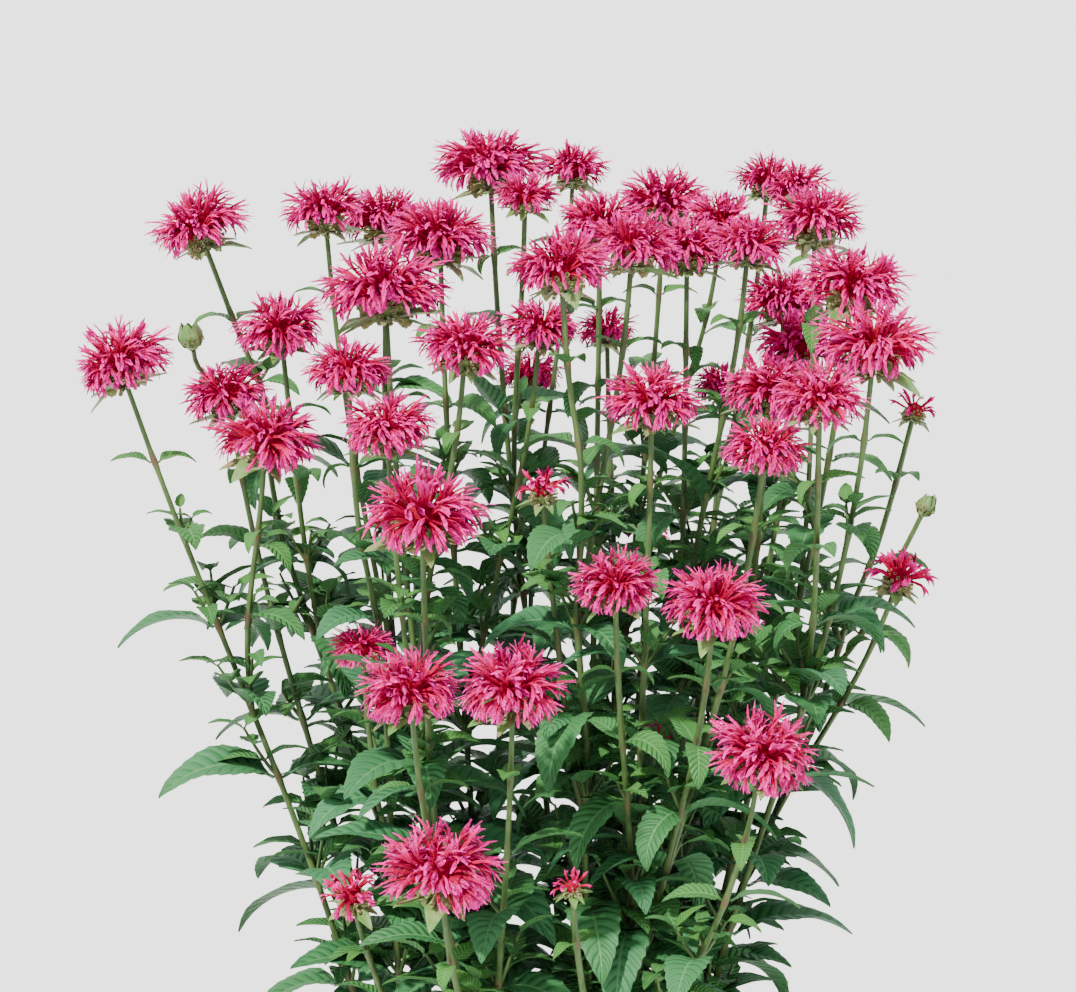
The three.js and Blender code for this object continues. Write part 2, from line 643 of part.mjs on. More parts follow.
// One stem with its leaves, its bracts and its cup of calyces, as a solid.
function stemSolid(index) {
  const bloom = blooms[index];
  const path = paths[index];
  const sums = lengths(path);
  const stem = { path, sums, turn: turns[index] };
  const whole = sums[sums.length - 1];
  const radius = (back) => stemRadius(bloom, 1 - back / whole);
  const own = leaves.filter((leaf) => leaf.stem === index && leaf.long >= LEAF.least);
  const knots = [...new Set(own.map((leaf) => leaf.back))].sort((a, b) => b - a);
  const rings = [];
  knots.forEach((back) => {
    rings.push({ back: back + LEAF.knotHigh / 2, leaves: own.filter((leaf) => leaf.back === back) });
    rings.push({ back: back - LEAF.knotHigh / 2 });
  });
  blooms.forEach((branch) => {
    if (branch.from !== index) return;
    const back = sums[STEM.points - Math.round(branch.join * STEM.points)];
    if (rings.every((ring) => Math.abs(ring.back - back) > LEAF.knotHigh)) rings.push({ back });
  });
  rings.push({ back: whole });
  rings.push({ back: CUP.bractHigh, bracts: true });
  rings.sort((a, b) => b.back - a.back);
  followBends(path, sums, rings);

  const skin = new Skin();
  let near = skin.loop(squareRing(stem, whole, radius(whole)));
  skin.closeBack(near);
  let grown = [];
  rings.slice(1).concat([{ back: 0 }]).forEach((ring, step) => {
    const before = rings[step];
    const far = skin.loop(squareRing(stem, ring.back, radius(ring.back)));
    for (let face = 0; face < 4; face += 1) {
      const next = (face + 1) % 4;
      const root = [near[face], near[next], far[next], far[face]];
      const leaf = (before.leaves ?? []).find((one) => one.face === face);
      if (leaf) {
        grown.push(() => growLeaf(skin, root, leaf));
      } else if (before.bracts) {
        const { along } = stemAt(path, sums, 0);
        const axes = squareAxes(along, stem.turn);
        const angle = (Math.PI / 2) * face;
        const out = add(times(axes[0], Math.cos(angle)), times(axes[1], Math.sin(angle)));
        grown.push(() => growBract(skin, root, bloom, stemAt(path, sums, CUP.bractHigh / 2).point, out, along));
      } else {
        skin.face(root[0], root[1], root[2]);
        skin.face(root[0], root[2], root[3]);
      }
    }
    near = far;
  });
  grown.forEach((grow) => grow());
  const { point, along } = stemAt(path, sums, 0);
  const axes = squareAxes(along, stem.turn);
  const level = (share, wide) => {
    const centre = add(point, times(along, share * CUP.high * bloom.radius));
    return skin.loop(ringAt(centre, axes, wide * bloom.radius, CUP.sides, -Math.PI / 4));
  };
  const belly = level(0.45, CUP.wide);
  const top = level(1, CUP.top);
  skin.band(near, belly);
  skin.band(belly, top);
  skin.close(top);
  return skin.solid();
}

// A floret in the bloom's own frame, where up runs along its stem: it springs from one face of the dome and
// curves out to its tip, flat and widest past its middle.
function growFloret(skin, root, bloom, frame, floret) {
  const corners = root.map((corner) => skin.points[corner]);
  const start = times(corners.reduce(add), 1 / corners.length);
  const place = (away, high, turn) => {
    const flat = add(times(frame.axes[0], Math.cos(turn)), times(frame.axes[1], Math.sin(turn)));
    return add(bloom.middle, add(times(flat, away), times(frame.up, high)));
  };
  let reach = floret.reach;
  let shape = null;
  for (let attempt = 0; attempt < 12; attempt += 1) {
    const vertical = Math.sin(floret.tilt) > 0 ? BLOOM.high : BLOOM.low;
    const tip = place(
      reach * bloom.radius * Math.cos(floret.tilt),
      reach * bloom.radius * vertical * Math.sin(floret.tilt),
      floret.turn,
    );
    if (floret.spike) {
      shape = { tip };
      if (keepsOwnSide(bloom, [tip])) break;
      reach *= 0.9;
      continue;
    }
    const arch = add(between(start, tip, 0.6), times(frame.up, floret.arch * reach * bloom.radius));
    const way = unit(sub(tip, start));
    const flat = unit(cross(way, frame.up));
    const wide = times(flat, BLOOM.wide * bloom.radius);
    const normal = unit(cross(flat, way));
    const deep = times(normal, -BLOOM.deep * bloom.radius);
    shape = { tip, section: [add(arch, wide), add(arch, deep), sub(arch, wide)] };
    if (keepsOwnSide(bloom, [tip, ...shape.section])) break;
    reach *= 0.9;
  }
  if (floret.spike) {
    skin.point(root, shape.tip);
    return;
  }
  const far = skin.loop(shape.section);
  skin.band(root, far);
  skin.point(far, shape.tip);
}

// A bloom: a low dome that sits on the cup, with florets in whorls that droop, spread and stand.
function bloomSolid(index) {
  const bloom = blooms[index];
  const draw = seeded(index + 301);
  const path = paths[index];
  const sums = lengths(path);
  const { point, along } = stemAt(path, sums, 0);
  const axes = squareAxes(along, turns[index]);
  const frame = { axes, up: along };
  const R = bloom.radius;
  const sides = bloom.young ? 5 : BLOOM.around;
  const seat = add(point, times(along, CUP.high * R + BLOOM.gap));
  const step = (2 * Math.PI) / sides;
  const skin = new Skin();
  const ring = (high, wide, shift) => {
    return skin.loop(ringAt(add(seat, times(along, high * R)), axes, wide * R, sides, shift * step));
  };
  const foot = ring(0, BLOOM.core, 0);
  const girth = ring(BLOOM.domeHigh * 0.5, BLOOM.core, 0);
  const crown = ring(BLOOM.domeHigh * 0.9, BLOOM.core * 0.6, 0.5);
  const [apex] = skin.loop([add(seat, times(along, BLOOM.domeHigh * R))]);
  skin.closeBack(foot);
  const lift = bloom.young ? 0.35 : 0;
  const grown = [];
  for (let k = 0; k < sides; k += 1) {
    const next = (k + 1) % sides;
    const drooping = { ...WHORLS[0], turn: step * (k + 0.5) + draw(-0.15, 0.15), reach: draw(0.93, 1.07) };
    drooping.tilt += draw(-0.18, 0.18) + lift;
    grown.push([[girth[k], foot[k], foot[next], girth[next]], drooping]);
    skin.face(girth[k], girth[next], crown[k]);
    const spreading = { ...WHORLS[1], turn: step * (k + 1) + draw(-0.15, 0.15), reach: draw(0.93, 1.07) };
    spreading.tilt += draw(-0.18, 0.18) + lift;
    grown.push([[crown[k], girth[next], crown[next]], spreading]);
    const standing = { turn: step * (k + 1), tilt: draw(0.85, 1.35), reach: draw(0.85, 1.05), spike: true };
    grown.push([[crown[k], crown[next], apex], standing]);
  }
  grown.forEach(([root, floret]) => growFloret(skin, root, bloom, frame, floret));
  return skin.solid();
}

// The crown at a clump's foot, from which its stems rise.
function crownSolid(clump) {
  const [x, y] = clump.crown;
  const axes = [[1, 0, 0], [0, 1, 0]];
  const skin = new Skin();
  const ring = (z, radius) => skin.loop(ringAt([x, y, z], axes, radius, CROWN.sides, 0));
  const foot = ring(SOIL.top - SOIL.holeDepth + SOIL.gap, CROWN.radius * 0.8);
  const girth = ring(SOIL.top - 8, CROWN.radius);
  const rim = ring(SOIL.top + 1, CROWN.radius);
  const top = ring(SOIL.top + CROWN.above, CROWN.radius * 0.7);
  skin.closeBack(foot);
  skin.band(foot, girth);
  skin.band(girth, rim);
  skin.band(rim, top);
  skin.close(top);
  return skin.solid();
}

function clumpSolid(clump) {
  const parts = [crownSolid(CLUMPS[clump])];
  blooms.forEach((bloom, index) => {
    if (bloom.clump === clump) parts.push(stemSolid(index));
  });
  return wasm.Manifold.union(parts);
}

// The pot and its filling

function turned(profile, sides) {
  const points = profile.map(([radius, height]) => new THREE.Vector2(radius, height));
  const geometry = new THREE.LatheGeometry(points, sides);
  geometry.rotateX(Math.PI / 2);
  return solidOf(geometry);
}

function plug(radius, low, high, sides, x, y) {
  const geometry = new THREE.CylinderGeometry(radius, radius, high - low, sides);
  geometry.rotateX(Math.PI / 2);
  geometry.translate(x, y, (low + high) / 2);
  return solidOf(geometry);
}

function solidOf(geometry) {
  geometry.deleteAttribute("normal");
  geometry.deleteAttribute("uv");
  const merged = mergeVertices(geometry, 1e-4);
  return new wasm.Manifold(new wasm.Mesh({
    numProp: 3,
    vertProperties: new Float32Array(merged.attributes.position.array),
    triVerts: new Uint32Array(merged.index.array),
  }));
}

// The pot's outer radius under the rim at a height: it widens evenly from the foot.
function potRadius(height) {
  const under = POT.rimRadius - POT.rimProud;
  return POT.footRadius + ((under - POT.footRadius) * height) / POT.height;
}

function potSolid() {
  const rimLow = POT.height - POT.rimHeight;
  const round = 3;
  const profile = [
    [0, 0],
    [POT.footRadius, 0],
    [potRadius(rimLow), rimLow],
    [POT.rimRadius - 1, rimLow + 1],
    [POT.rimRadius, POT.height - round],
    [POT.rimRadius - round, POT.height],
    [potRadius(POT.height) - POT.wall, POT.height],
    [potRadius(POT.floor) - POT.wall, POT.floor],
    [0, POT.floor],
  ];
  let pot = turned(profile, POT.sides);
  for (let k = 0; k < POT.drains; k += 1) {
    const angle = (2 * Math.PI * (k + 0.5)) / POT.drains;
    const [x, y] = [POT.drainCircle * Math.cos(angle), POT.drainCircle * Math.sin(angle)];
    pot = pot.subtract(plug(POT.drainRadius, -1, POT.floor + 1, 8, x, y));
  }
  return pot;
}

function soilSolid() {
  const low = POT.floor + SOIL.gap;
  const inner = (height) => potRadius(height) - POT.wall - 2 * SOIL.gap;
  const profile = [
    [0, low],
    [inner(low), low],
    [inner(SOIL.top - SOIL.edge), SOIL.top - SOIL.edge],
    [inner(SOIL.top) - 14, SOIL.top],
    [0, SOIL.top],
  ];
  let soil = turned(profile, POT.sides);
  for (const { crown } of CLUMPS) {
    const hole = plug(CROWN.radius + SOIL.gap, SOIL.top - SOIL.holeDepth, SOIL.top + 5, 8, crown[0], crown[1]);
    soil = soil.subtract(hole);
  }
  return soil;
}

// Meshes

function meshOf(name, solid, material) {
  const { vertProperties, triVerts, numProp } = solid.getMesh();
  const geometry = new THREE.BufferGeometry();
  const position = new Float32Array((vertProperties.length / numProp) * 3);
  for (let i = 0; i < position.length / 3; i += 1) {
    for (let k = 0; k < 3; k += 1) position[3 * i + k] = vertProperties[numProp * i + k];
  }
  geometry.setAttribute("position", new THREE.BufferAttribute(position, 3));
  geometry.setIndex(new THREE.BufferAttribute(new Uint32Array(triVerts), 1));
  geometry.computeVertexNormals();
  const mesh = new THREE.Mesh(geometry, material);
  mesh.name = name;
  return mesh;
}

const paint = (color, roughness) => new THREE.MeshStandardMaterial({ color, roughness, metalness: 0 });

const blooms = bloomPlaces();
const paths = spreadStems(blooms, stemPaths(blooms));
const { leaves, turns } = growLeaves(blooms, paths);

const plant = new THREE.Group();
plant.add(meshOf("pot", potSolid(), paint(0xb5623f, 0.85)));
plant.add(meshOf("potting_mix", soilSolid(), paint(0x3b2a20, 1)));
CLUMPS.forEach(({ name }, clump) => {
  plant.add(meshOf(name, clumpSolid(clump), paint(0x4f7a35, 0.7)));
});
blooms.forEach((bloom, index) => {
  if (bloom.bud) return;
  const name = `bloom_${String(index + 1).padStart(2, "0")}`;
  plant.add(meshOf(name, bloomSolid(index), paint(0xe6336f, 0.6)));
});

export default plant;
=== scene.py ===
# %% [markdown]
# A potted bee balm. The packed CAD model is loaded first as a fixed frame: its solids carry the sizes, the
# stems' places and the blooms' places. Every piece made below stands for one of those solids, sits in the
# same place and only adds what fine looks need: florets, calyces, toothed leaves, soil crumbs and finishes.

# %% Load the frame
import json
import math

import bpy
import numpy as np
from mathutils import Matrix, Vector

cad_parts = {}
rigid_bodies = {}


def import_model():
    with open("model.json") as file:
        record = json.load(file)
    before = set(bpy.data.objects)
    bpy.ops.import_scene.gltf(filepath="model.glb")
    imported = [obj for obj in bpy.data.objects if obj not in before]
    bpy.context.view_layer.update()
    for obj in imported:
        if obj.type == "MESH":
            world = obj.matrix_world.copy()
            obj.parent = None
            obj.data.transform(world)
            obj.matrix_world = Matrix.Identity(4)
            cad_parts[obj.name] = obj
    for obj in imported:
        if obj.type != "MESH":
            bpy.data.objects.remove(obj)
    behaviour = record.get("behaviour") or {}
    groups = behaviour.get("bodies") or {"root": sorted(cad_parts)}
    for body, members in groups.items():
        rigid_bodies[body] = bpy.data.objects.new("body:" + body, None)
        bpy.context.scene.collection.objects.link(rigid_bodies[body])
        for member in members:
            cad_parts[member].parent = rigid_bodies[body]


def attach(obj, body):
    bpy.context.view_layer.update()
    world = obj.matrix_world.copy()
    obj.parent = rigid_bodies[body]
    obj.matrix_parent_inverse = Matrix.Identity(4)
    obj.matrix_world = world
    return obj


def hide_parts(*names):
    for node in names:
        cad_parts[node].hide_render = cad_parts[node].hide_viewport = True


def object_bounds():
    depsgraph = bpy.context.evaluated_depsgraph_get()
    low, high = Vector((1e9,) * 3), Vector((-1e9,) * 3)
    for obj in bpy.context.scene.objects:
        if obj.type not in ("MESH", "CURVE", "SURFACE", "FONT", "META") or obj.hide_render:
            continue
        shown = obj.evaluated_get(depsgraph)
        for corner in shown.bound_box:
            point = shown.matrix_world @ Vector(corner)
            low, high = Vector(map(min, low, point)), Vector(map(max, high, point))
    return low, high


for thing in list(bpy.data.objects):
    bpy.data.objects.remove(thing)
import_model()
cad_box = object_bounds()
print("CAD box, m:", cad_box)

# %% [markdown]
# The growth rules. A plant like this is easiest to build the way it grows: blooms stand where the picture
# shows them, stems run from a few crowns to the blooms and lean away from each other, and leaves come in
# opposite pairs, each pair turned a quarter against the next. The same rules made the CAD solids, so
# running them again here puts every leaf and floret where its solid is. Lengths stay in millimetres until a
# mesh is made.

# %% Sizes of the pot and the plant, in millimetres
MM = 0.001
POT_HEIGHT = 250.0
RIM_RADIUS = 152.0
RIM_HEIGHT = 36.0
RIM_PROUD = 8.0
FOOT_RADIUS = 104.0
POT_WALL = 9.0
POT_FLOOR = 12.0
DRAIN_RADIUS = 8.0
DRAIN_CIRCLE = 55.0
SOIL_TOP = 222.0
SOIL_EDGE = 4.0
CROWN_RADIUS = 21.0
CROWN_ABOVE = 5.0
CROWN_RING = 12.5
STEM_FOOT = 2.7
STEM_TOP = 1.9
STEM_APART = 9.0
STEM_CLEAR_OF_BLOOM = 8.0
CUP_HIGH = 0.38
BLOOM = dict(seat=0.16, high=0.8, low=0.62, under=0.85, side=1.2)
print("pot mm:", 2 * RIM_RADIUS, "wide,", POT_HEIGHT, "high; soil at", SOIL_TOP)

# %% [markdown]
# Chance and directions. Nature is uneven, but the script has to give the same plant each time. A small
# draw that starts from a seed of its own for every stem and head does both, and it also lets one head
# change without moving the others. Each kind of piece has its own first seed.

# %% Seeded draws
UP = np.array([0.0, 0.0, 1.0])
SEEDS = dict(leaves=7, shoots=901, calyces=1201, florets=2401, bracts=3601, crowns=4801, tones=11,
             calyx_tones=101)


def unit(vector):
    return vector / np.linalg.norm(vector)


def seeded(seed):
    """A draw between low and high that gives the same numbers for the same seed."""
    span = 4294967296
    state = [(seed * 48271 + 11) % span]

    def draw(low, high):
        state[0] = (state[0] * 1664525 + 1013904223) % span
        return low + (high - low) * state[0] / span

    return draw


def held(value, low, high):
    """The value, kept between two limits."""
    return min(max(value, low), high)


print("first draw of seed 1:", round(seeded(1)(0, 1), 4))

# %% [markdown]
# From the picture to space. A head is placed by the pixel where its middle shows and by its depth, so the
# picture's camera comes before the plant. It is a plain pinhole camera, 1.7 m off, that looks down a
# little. A ray through the pixel is followed until it reaches the depth, and things farther off are larger
# than their width in pixels says, which the reach tells.

# %% The camera's mapping
PICTURE = (1076, 992)
VIEW_MIDDLE = (538, 496)
VIEW_DISTANCE = 1700.0
VIEW_DOWN = math.radians(8)
VIEW_PIXEL = 0.64
VIEW_AIM = (0.0, 0.0, 640.0)
AHEAD = np.array([0.0, math.cos(VIEW_DOWN), -math.sin(VIEW_DOWN)])
UPWARD = np.array([0.0, math.sin(VIEW_DOWN), math.cos(VIEW_DOWN)])
EYE = np.array(VIEW_AIM) - AHEAD * VIEW_DISTANCE


def place_of(x, y, depth):
    """Where a pixel of the picture lies in space at a depth, and how much farther than the aim."""
    across = (x - VIEW_MIDDLE[0]) * VIEW_PIXEL
    above = (VIEW_MIDDLE[1] - y) * VIEW_PIXEL
    ray = AHEAD * VIEW_DISTANCE + np.array([across, 0, 0]) + UPWARD * above
    reach = (depth - EYE[1]) / ray[1]
    return EYE + ray * reach, reach


print("picture, mm at the aim:", PICTURE[0] * VIEW_PIXEL, "by", PICTURE[1] * VIEW_PIXEL)

# %% [markdown]
# The heads. Six clumps share the pot, and every head belongs to one of them. A head either has a stem of its
# own from the crown or branches off another head's stem, which is how one root carries many heads. A table
# with a row for each head is the plainest way to write down what the picture shows.

# %% Where the heads stand
# Each clump: its node and its crown's place.
CLUMPS = (
    ("leafy_clump_left", (-84, -22)),
    ("leafy_clump_back_left", (-48, 60)),
    ("leafy_clump_front_left", (-32, -86)),
    ("leafy_clump_back_right", (34, 74)),
    ("leafy_clump_front_right", (42, -74)),
    ("leafy_clump_right", (86, 6)),
)

# The blooms: the picture's pixel where the middle shows, the depth behind the pot's axis, the width in
# pixels, the clump, how much of the stem's slope the bloom keeps, the bloom whose stem it branches off
# with the share of that stem, and its kind.
BLOOM_KEYS = ("x", "y", "depth", "wide", "clump", "lean", "parent", "join", "kind")
BLOOM_ROWS = (
    (119, 363, -50, 100, 0, 1, None, 0, "open"),
    (228, 395, 30, 88, 0, 0.6, None, 0, "open"),
    (265, 437, -80, 104, 0, 0.9, 0, 0.55, "open"),
    (348, 370, -95, 84, 0, 0.45, None, 0, "open"),
    (362, 648, -85, 62, 0, 0.7, 3, 0.4, "open"),
    (351, 893, -135, 70, 0, 0.8, None, 0, "young"),
    (202, 224, 40, 94, 1, 0.6, None, 0, "open"),
    (325, 212, 30, 84, 1, 0.45, None, 0, "open"),
    (384, 220, 105, 88, 1, 0.45, 7, 0.5, "open"),
    (440, 238, 25, 104, 1, 0.45, None, 0, "open"),
    (280, 328, -20, 88, 1, 0.8, 6, 0.5, "open"),
    (540, 327, -20, 74, 1, 0.45, 9, 0.4, "open"),
    (530, 374, 130, 64, 1, 0.45, None, 0, "open"),
    (385, 290, -65, 122, 2, 0.45, None, 0, "open"),
    (387, 428, -155, 90, 2, 0.45, None, 0, "open"),
    (465, 346, -115, 92, 2, 0.45, 13, 0.55, "open"),
    (422, 513, -190, 118, 2, 0.45, 14, 0.45, "open"),
    (410, 688, -205, 100, 2, 0.45, None, 0, "open"),
    (513, 686, -215, 106, 2, 0.45, None, 0, "open"),
    (440, 868, -230, 120, 2, 0.45, None, 0, "open"),
    (490, 165, 60, 104, 3, 0.45, None, 0, "open"),
    (573, 170, 130, 70, 3, 0.45, 20, 0.5, "open"),
    (525, 196, 5, 62, 3, 0.45, 20, 0.65, "open"),
    (600, 224, 25, 88, 3, 0.45, None, 0, "open"),
    (664, 203, 115, 92, 3, 0.45, None, 0, "open"),
    (722, 222, 60, 80, 3, 0.45, 24, 0.55, "open"),
    (768, 181, 135, 68, 3, 0.45, None, 0, "open"),
    (607, 331, 165, 60, 3, 0.9, 24, 0.4, "open"),
    (648, 534, 60, 50, 3, 0.45, None, 0, "young"),
    (562, 268, -125, 100, 4, 0.45, None, 0, "open"),
    (632, 248, -70, 94, 4, 0.45, 29, 0.55, "open"),
    (652, 400, -140, 94, 4, 0.45, None, 0, "open"),
    (543, 488, -110, 62, 4, 0.45, 29, 0.45, "young"),
    (615, 582, -190, 86, 4, 0.45, 31, 0.35, "open"),
    (714, 602, -215, 102, 4, 0.45, 37, 0.4, "open"),
    (762, 752, -225, 108, 4, 0.45, None, 0, "open"),
    (572, 885, -215, 44, 4, 0.45, None, 0, "young"),
    (765, 447, -170, 86, 4, 0.45, None, 0, "open"),
    (655, 737, -70, 44, 4, 0.45, None, 0, "young"),
    (687, 250, -10, 88, 5, 0.45, None, 0, "open"),
    (748, 245, -50, 80, 5, 0.45, 39, 0.6, "open"),
    (804, 188, 50, 66, 5, 0.45, None, 0, "open"),
    (815, 222, -22, 94, 5, 0.45, 43, 0.7, "open"),
    (852, 285, -80, 104, 5, 0.45, None, 0, "open"),
    (785, 301, 60, 88, 5, 0.45, 41, 0.6, "open"),
    (874, 345, -150, 110, 5, 0.3, None, 0, "open"),
    (800, 345, 4, 90, 5, 0.45, None, 0, "open"),
    (768, 387, -130, 88, 5, 0.45, 46, 0.5, "open"),
    (820, 397, -205, 92, 5, 0.3, 45, 0.6, "open"),
    (722, 385, 90, 60, 5, 0.45, None, 0, "open"),
    (914, 408, -20, 52, 5, 0.45, None, 0, "young"),
    (900, 575, -75, 72, 5, 0.7, 50, 0.45, "young"),
    (188, 338, 45, 50, 1, 0.6, 6, 0.85, "bud"),
    (926, 506, -25, 46, 5, 0.9, 50, 0.7, "bud"),
)

blooms = []
for row in BLOOM_ROWS:
    bloom = dict(zip(BLOOM_KEYS, row))
    middle, reach = place_of(bloom["x"], bloom["y"], bloom["depth"])
    bloom.update(middle=middle, radius=bloom["wide"] / 2 * VIEW_PIXEL * reach)
    blooms.append(bloom)
print("blooms:", len(blooms), "widest mm:", round(2 * max(b["radius"] for b in blooms), 1))

# %% [markdown]
# The stems' first paths. Each one is a cubic curve from its crown to its cup, cut into twelve straight
# pieces: it leaves the crown between upright and straight at its head, and arrives nearly upright. A branch
# starts at a knot of its parent's path, halfway between the parent's way and its own.

# %% Stem paths
STEM_POINTS = 12
STEM_PULL = 0.36
FOOT_SINK = 3.0
FOOT_LEAN = 0.6


def stem_path(start, leaving, bloom, slope):
    arriving = unit(slope * bloom["lean"] + UP * (1 - bloom["lean"]))
    end = bloom["middle"] - arriving * (BLOOM["seat"] + CUP_HIGH) * bloom["radius"]
    pull = np.linalg.norm(end - start) * STEM_PULL
    first = start + leaving * pull
    second = end - arriving * pull
    share = (np.arange(STEM_POINTS + 1) / STEM_POINTS)[:, None]
    rest = 1 - share
    return rest**3 * start + 3 * rest**2 * share * first + 3 * rest * share**2 * second + share**3 * end


def knot_of(bloom):
    return int(math.floor(bloom["join"] * STEM_POINTS + 0.5))


def foot_of(bloom):
    """Where a stem leaves its crown: stems stand in a ring, in the order of their heads' bearings."""
    crown = CLUMPS[bloom["clump"]][1]
    ring = [b for b in blooms if b["clump"] == bloom["clump"] and b["parent"] is None]
    bearing = lambda b: math.atan2(b["middle"][1] - crown[1], b["middle"][0] - crown[0])
    ordered = sorted(ring, key=bearing)
    place = next(i for i, b in enumerate(ordered) if b is bloom)
    turn = bearing(ordered[0]) + 2 * math.pi * place / len(ordered)
    return np.array([crown[0] + CROWN_RING * math.cos(turn), crown[1] + CROWN_RING * math.sin(turn),
                     SOIL_TOP - FOOT_SINK])


def first_paths():
    found = [None] * len(blooms)
    for index, bloom in enumerate(blooms):
        if bloom["parent"] is None:
            foot = foot_of(bloom)
            slope = unit(bloom["middle"] - foot)
            found[index] = stem_path(foot, unit(slope * FOOT_LEAN + UP * (1 - FOOT_LEAN)), bloom, slope)
    for index, bloom in enumerate(blooms):
        if bloom["parent"] is not None:
            parent, knot = found[bloom["parent"]], knot_of(bloom)
            slope = unit(bloom["middle"] - parent[knot])
            leaving = unit(slope + unit(parent[knot + 1] - parent[knot]))
            found[index] = stem_path(parent[knot], leaving, bloom, slope)
    return np.array(found)


paths = first_paths()
print("stems:", len(paths), "branches:", sum(bloom["parent"] is not None for bloom in blooms))

# %% [markdown]
# Stems that make room. A few rounds of gentle pushing part the pieces that come too near each other or too
# near a bloom, the way crowded stems lean away from each other. Each push is level, so that a stem keeps its
# height, and is shared with the neighbouring points, so that the path stays smooth. It is done with arrays,
# because plain loops over all pairs of pieces would take minutes.

# %% Parting the stems
STEM_ROUNDS = 60
STEM_NEAR = np.array([75.0, 75.0, 110.0])
PUSH_KEPT, PUSH_SHARED = 0.6, 0.2


def parting_pairs():
    """Every pair of stem pieces that must keep apart, as four arrays: stem, piece, stem, piece."""
    rows = []
    for first in range(len(blooms)):
        for second in range(first + 1, len(blooms)):
            same = blooms[first]["clump"] == blooms[second]["clump"]
            i, j = np.meshgrid(np.arange(STEM_POINTS), np.arange(STEM_POINTS), indexing="ij")
            keep = ~((np.maximum(i, j) <= 1) & same)
            if blooms[first]["parent"] == second:
                keep &= ~((i <= 1) & (np.abs(j + 0.5 - knot_of(blooms[first])) < 2))
            elif blooms[second]["parent"] == first:
                keep &= ~((j <= 1) & (np.abs(i + 0.5 - knot_of(blooms[second])) < 2))
            i, j = i[keep], j[keep]
            rows.append(np.stack([np.full_like(i, first), i, np.full_like(i, second), j]))
    return np.concatenate(rows, axis=1)


def nearest_shares(a0, a1, b0, b1):
    """How far along two rows of straight pieces their nearest points lie, as shares."""
    a, b, gap = a1 - a0, b1 - b0, a0 - b0
    aa, bb, ab = (a * a).sum(1), (b * b).sum(1), (a * b).sum(1)
    ag, bg = (a * gap).sum(1), (b * gap).sum(1)
    spread = aa * bb - ab * ab
    s = np.where(spread > 1e-9, np.clip((ab * bg - bb * ag) / np.maximum(spread, 1e-9), 0, 1), 0.5)
    t = np.clip((ab * s + bg) / bb, 0, 1)
    return np.clip((ab * t - ag) / aa, 0, 1), t


def push_off_stems(paths, pushes, pairs):
    """Adds the level pushes that part two pieces of stem nearer than STEM_APART."""
    near = (np.abs(paths[pairs[0], pairs[1]] - paths[pairs[2], pairs[3]]) <= STEM_NEAR).all(1)
    f, i, g, j = pairs[:, near]
    a0, a1, b0, b1 = paths[f, i], paths[f, i + 1], paths[g, j], paths[g, j + 1]
    s, t = nearest_shares(a0, a1, b0, b1)
    away = a0 + (a1 - a0) * s[:, None] - b0 - (b1 - b0) * t[:, None]
    gap = np.linalg.norm(away, axis=1)
    lack = STEM_APART - gap
    hit = lack > 0
    way = away[hit] * (0.5 * lack[hit] / np.maximum(gap[hit], 0.5))[:, None]
    way[:, 2] = 0
    f, i, g, j, s, t = f[hit], i[hit], g[hit], j[hit], s[hit, None], t[hit, None]
    np.add.at(pushes, (f, i), way * (1 - s))
    np.add.at(pushes, (f, i + 1), way * s)
    np.add.at(pushes, (g, j), -way * (1 - t))
    np.add.at(pushes, (g, j + 1), -way * t)


def push_off_blooms(paths, pushes):
    """Adds the level pushes that keep each piece of stem clear of every bloom but its own."""
    centres = np.array([b["middle"] for b in blooms])
    radii = np.array([b["radius"] for b in blooms])
    start, run = paths[:, :-1], np.diff(paths, axis=1)
    to_bloom = centres[None, None] - start[:, :, None]
    share = np.clip((to_bloom * run[:, :, None]).sum(3) / (run * run).sum(2)[:, :, None], 0, 1)
    away = start[:, :, None] + run[:, :, None] * share[..., None] - centres[None, None]
    gap = np.linalg.norm(away, axis=3)
    lack = radii[None, None] + STEM_CLEAR_OF_BLOOM - gap
    own = np.arange(len(blooms))
    lack[own, :, own] = 0
    stem, piece, bloom = np.nonzero(lack > 0)
    way = away[stem, piece, bloom] * (lack / np.maximum(gap, 1))[stem, piece, bloom][:, None]
    way[:, 2] = 0
    share = share[stem, piece, bloom][:, None]
    np.add.at(pushes, (stem, piece), way * (1 - share))
    np.add.at(pushes, (stem, piece + 1), way * share)


def spread_stems(paths):
    pairs = parting_pairs()
    for _ in range(STEM_ROUNDS):
        pushes = np.zeros_like(paths)
        push_off_stems(paths, pushes, pairs)
        push_off_blooms(paths, pushes)
        paths[:, 1:-1] += pushes[:, 1:-1] * PUSH_KEPT + (pushes[:, :-2] + pushes[:, 2:]) * PUSH_SHARED
        for index, bloom in enumerate(blooms):
            if bloom["parent"] is not None:
                paths[index, 0] = paths[bloom["parent"], knot_of(bloom)]
    return paths


paths = spread_stems(paths)
print("longest stem mm:", round(float(np.linalg.norm(np.diff(paths, axis=1), axis=2).sum(1).max())))

# %% [markdown]
# A leaf's curve. Each leaf bends along an arc: it leaves the stem rising, then its slope falls evenly to the
# tip, which has a simple closed formula. The arc is the midrib, and a side and a normal carry the blade.

# %% Leaf curves
LEAF = dict(
    first_below=44, spacing=66, lowest=60, longest=84, shortest=36, least=66, slender=0.45, fold=0.22,
    clear=5, clear_stem=8.5, clear_leaf=9.5, clear_same=8.5,
)
SHARES = np.array((0.12, 0.24, 0.36, 0.5, 0.64, 0.78, 0.9, 1.0))
BRANCH_STOUTER = 0.3


def back_lengths(path):
    """How far back from the head each point of a stem lies, the head first."""
    steps = np.linalg.norm(np.diff(path[::-1], axis=0), axis=1)
    return np.concatenate([[0.0], np.cumsum(steps)])


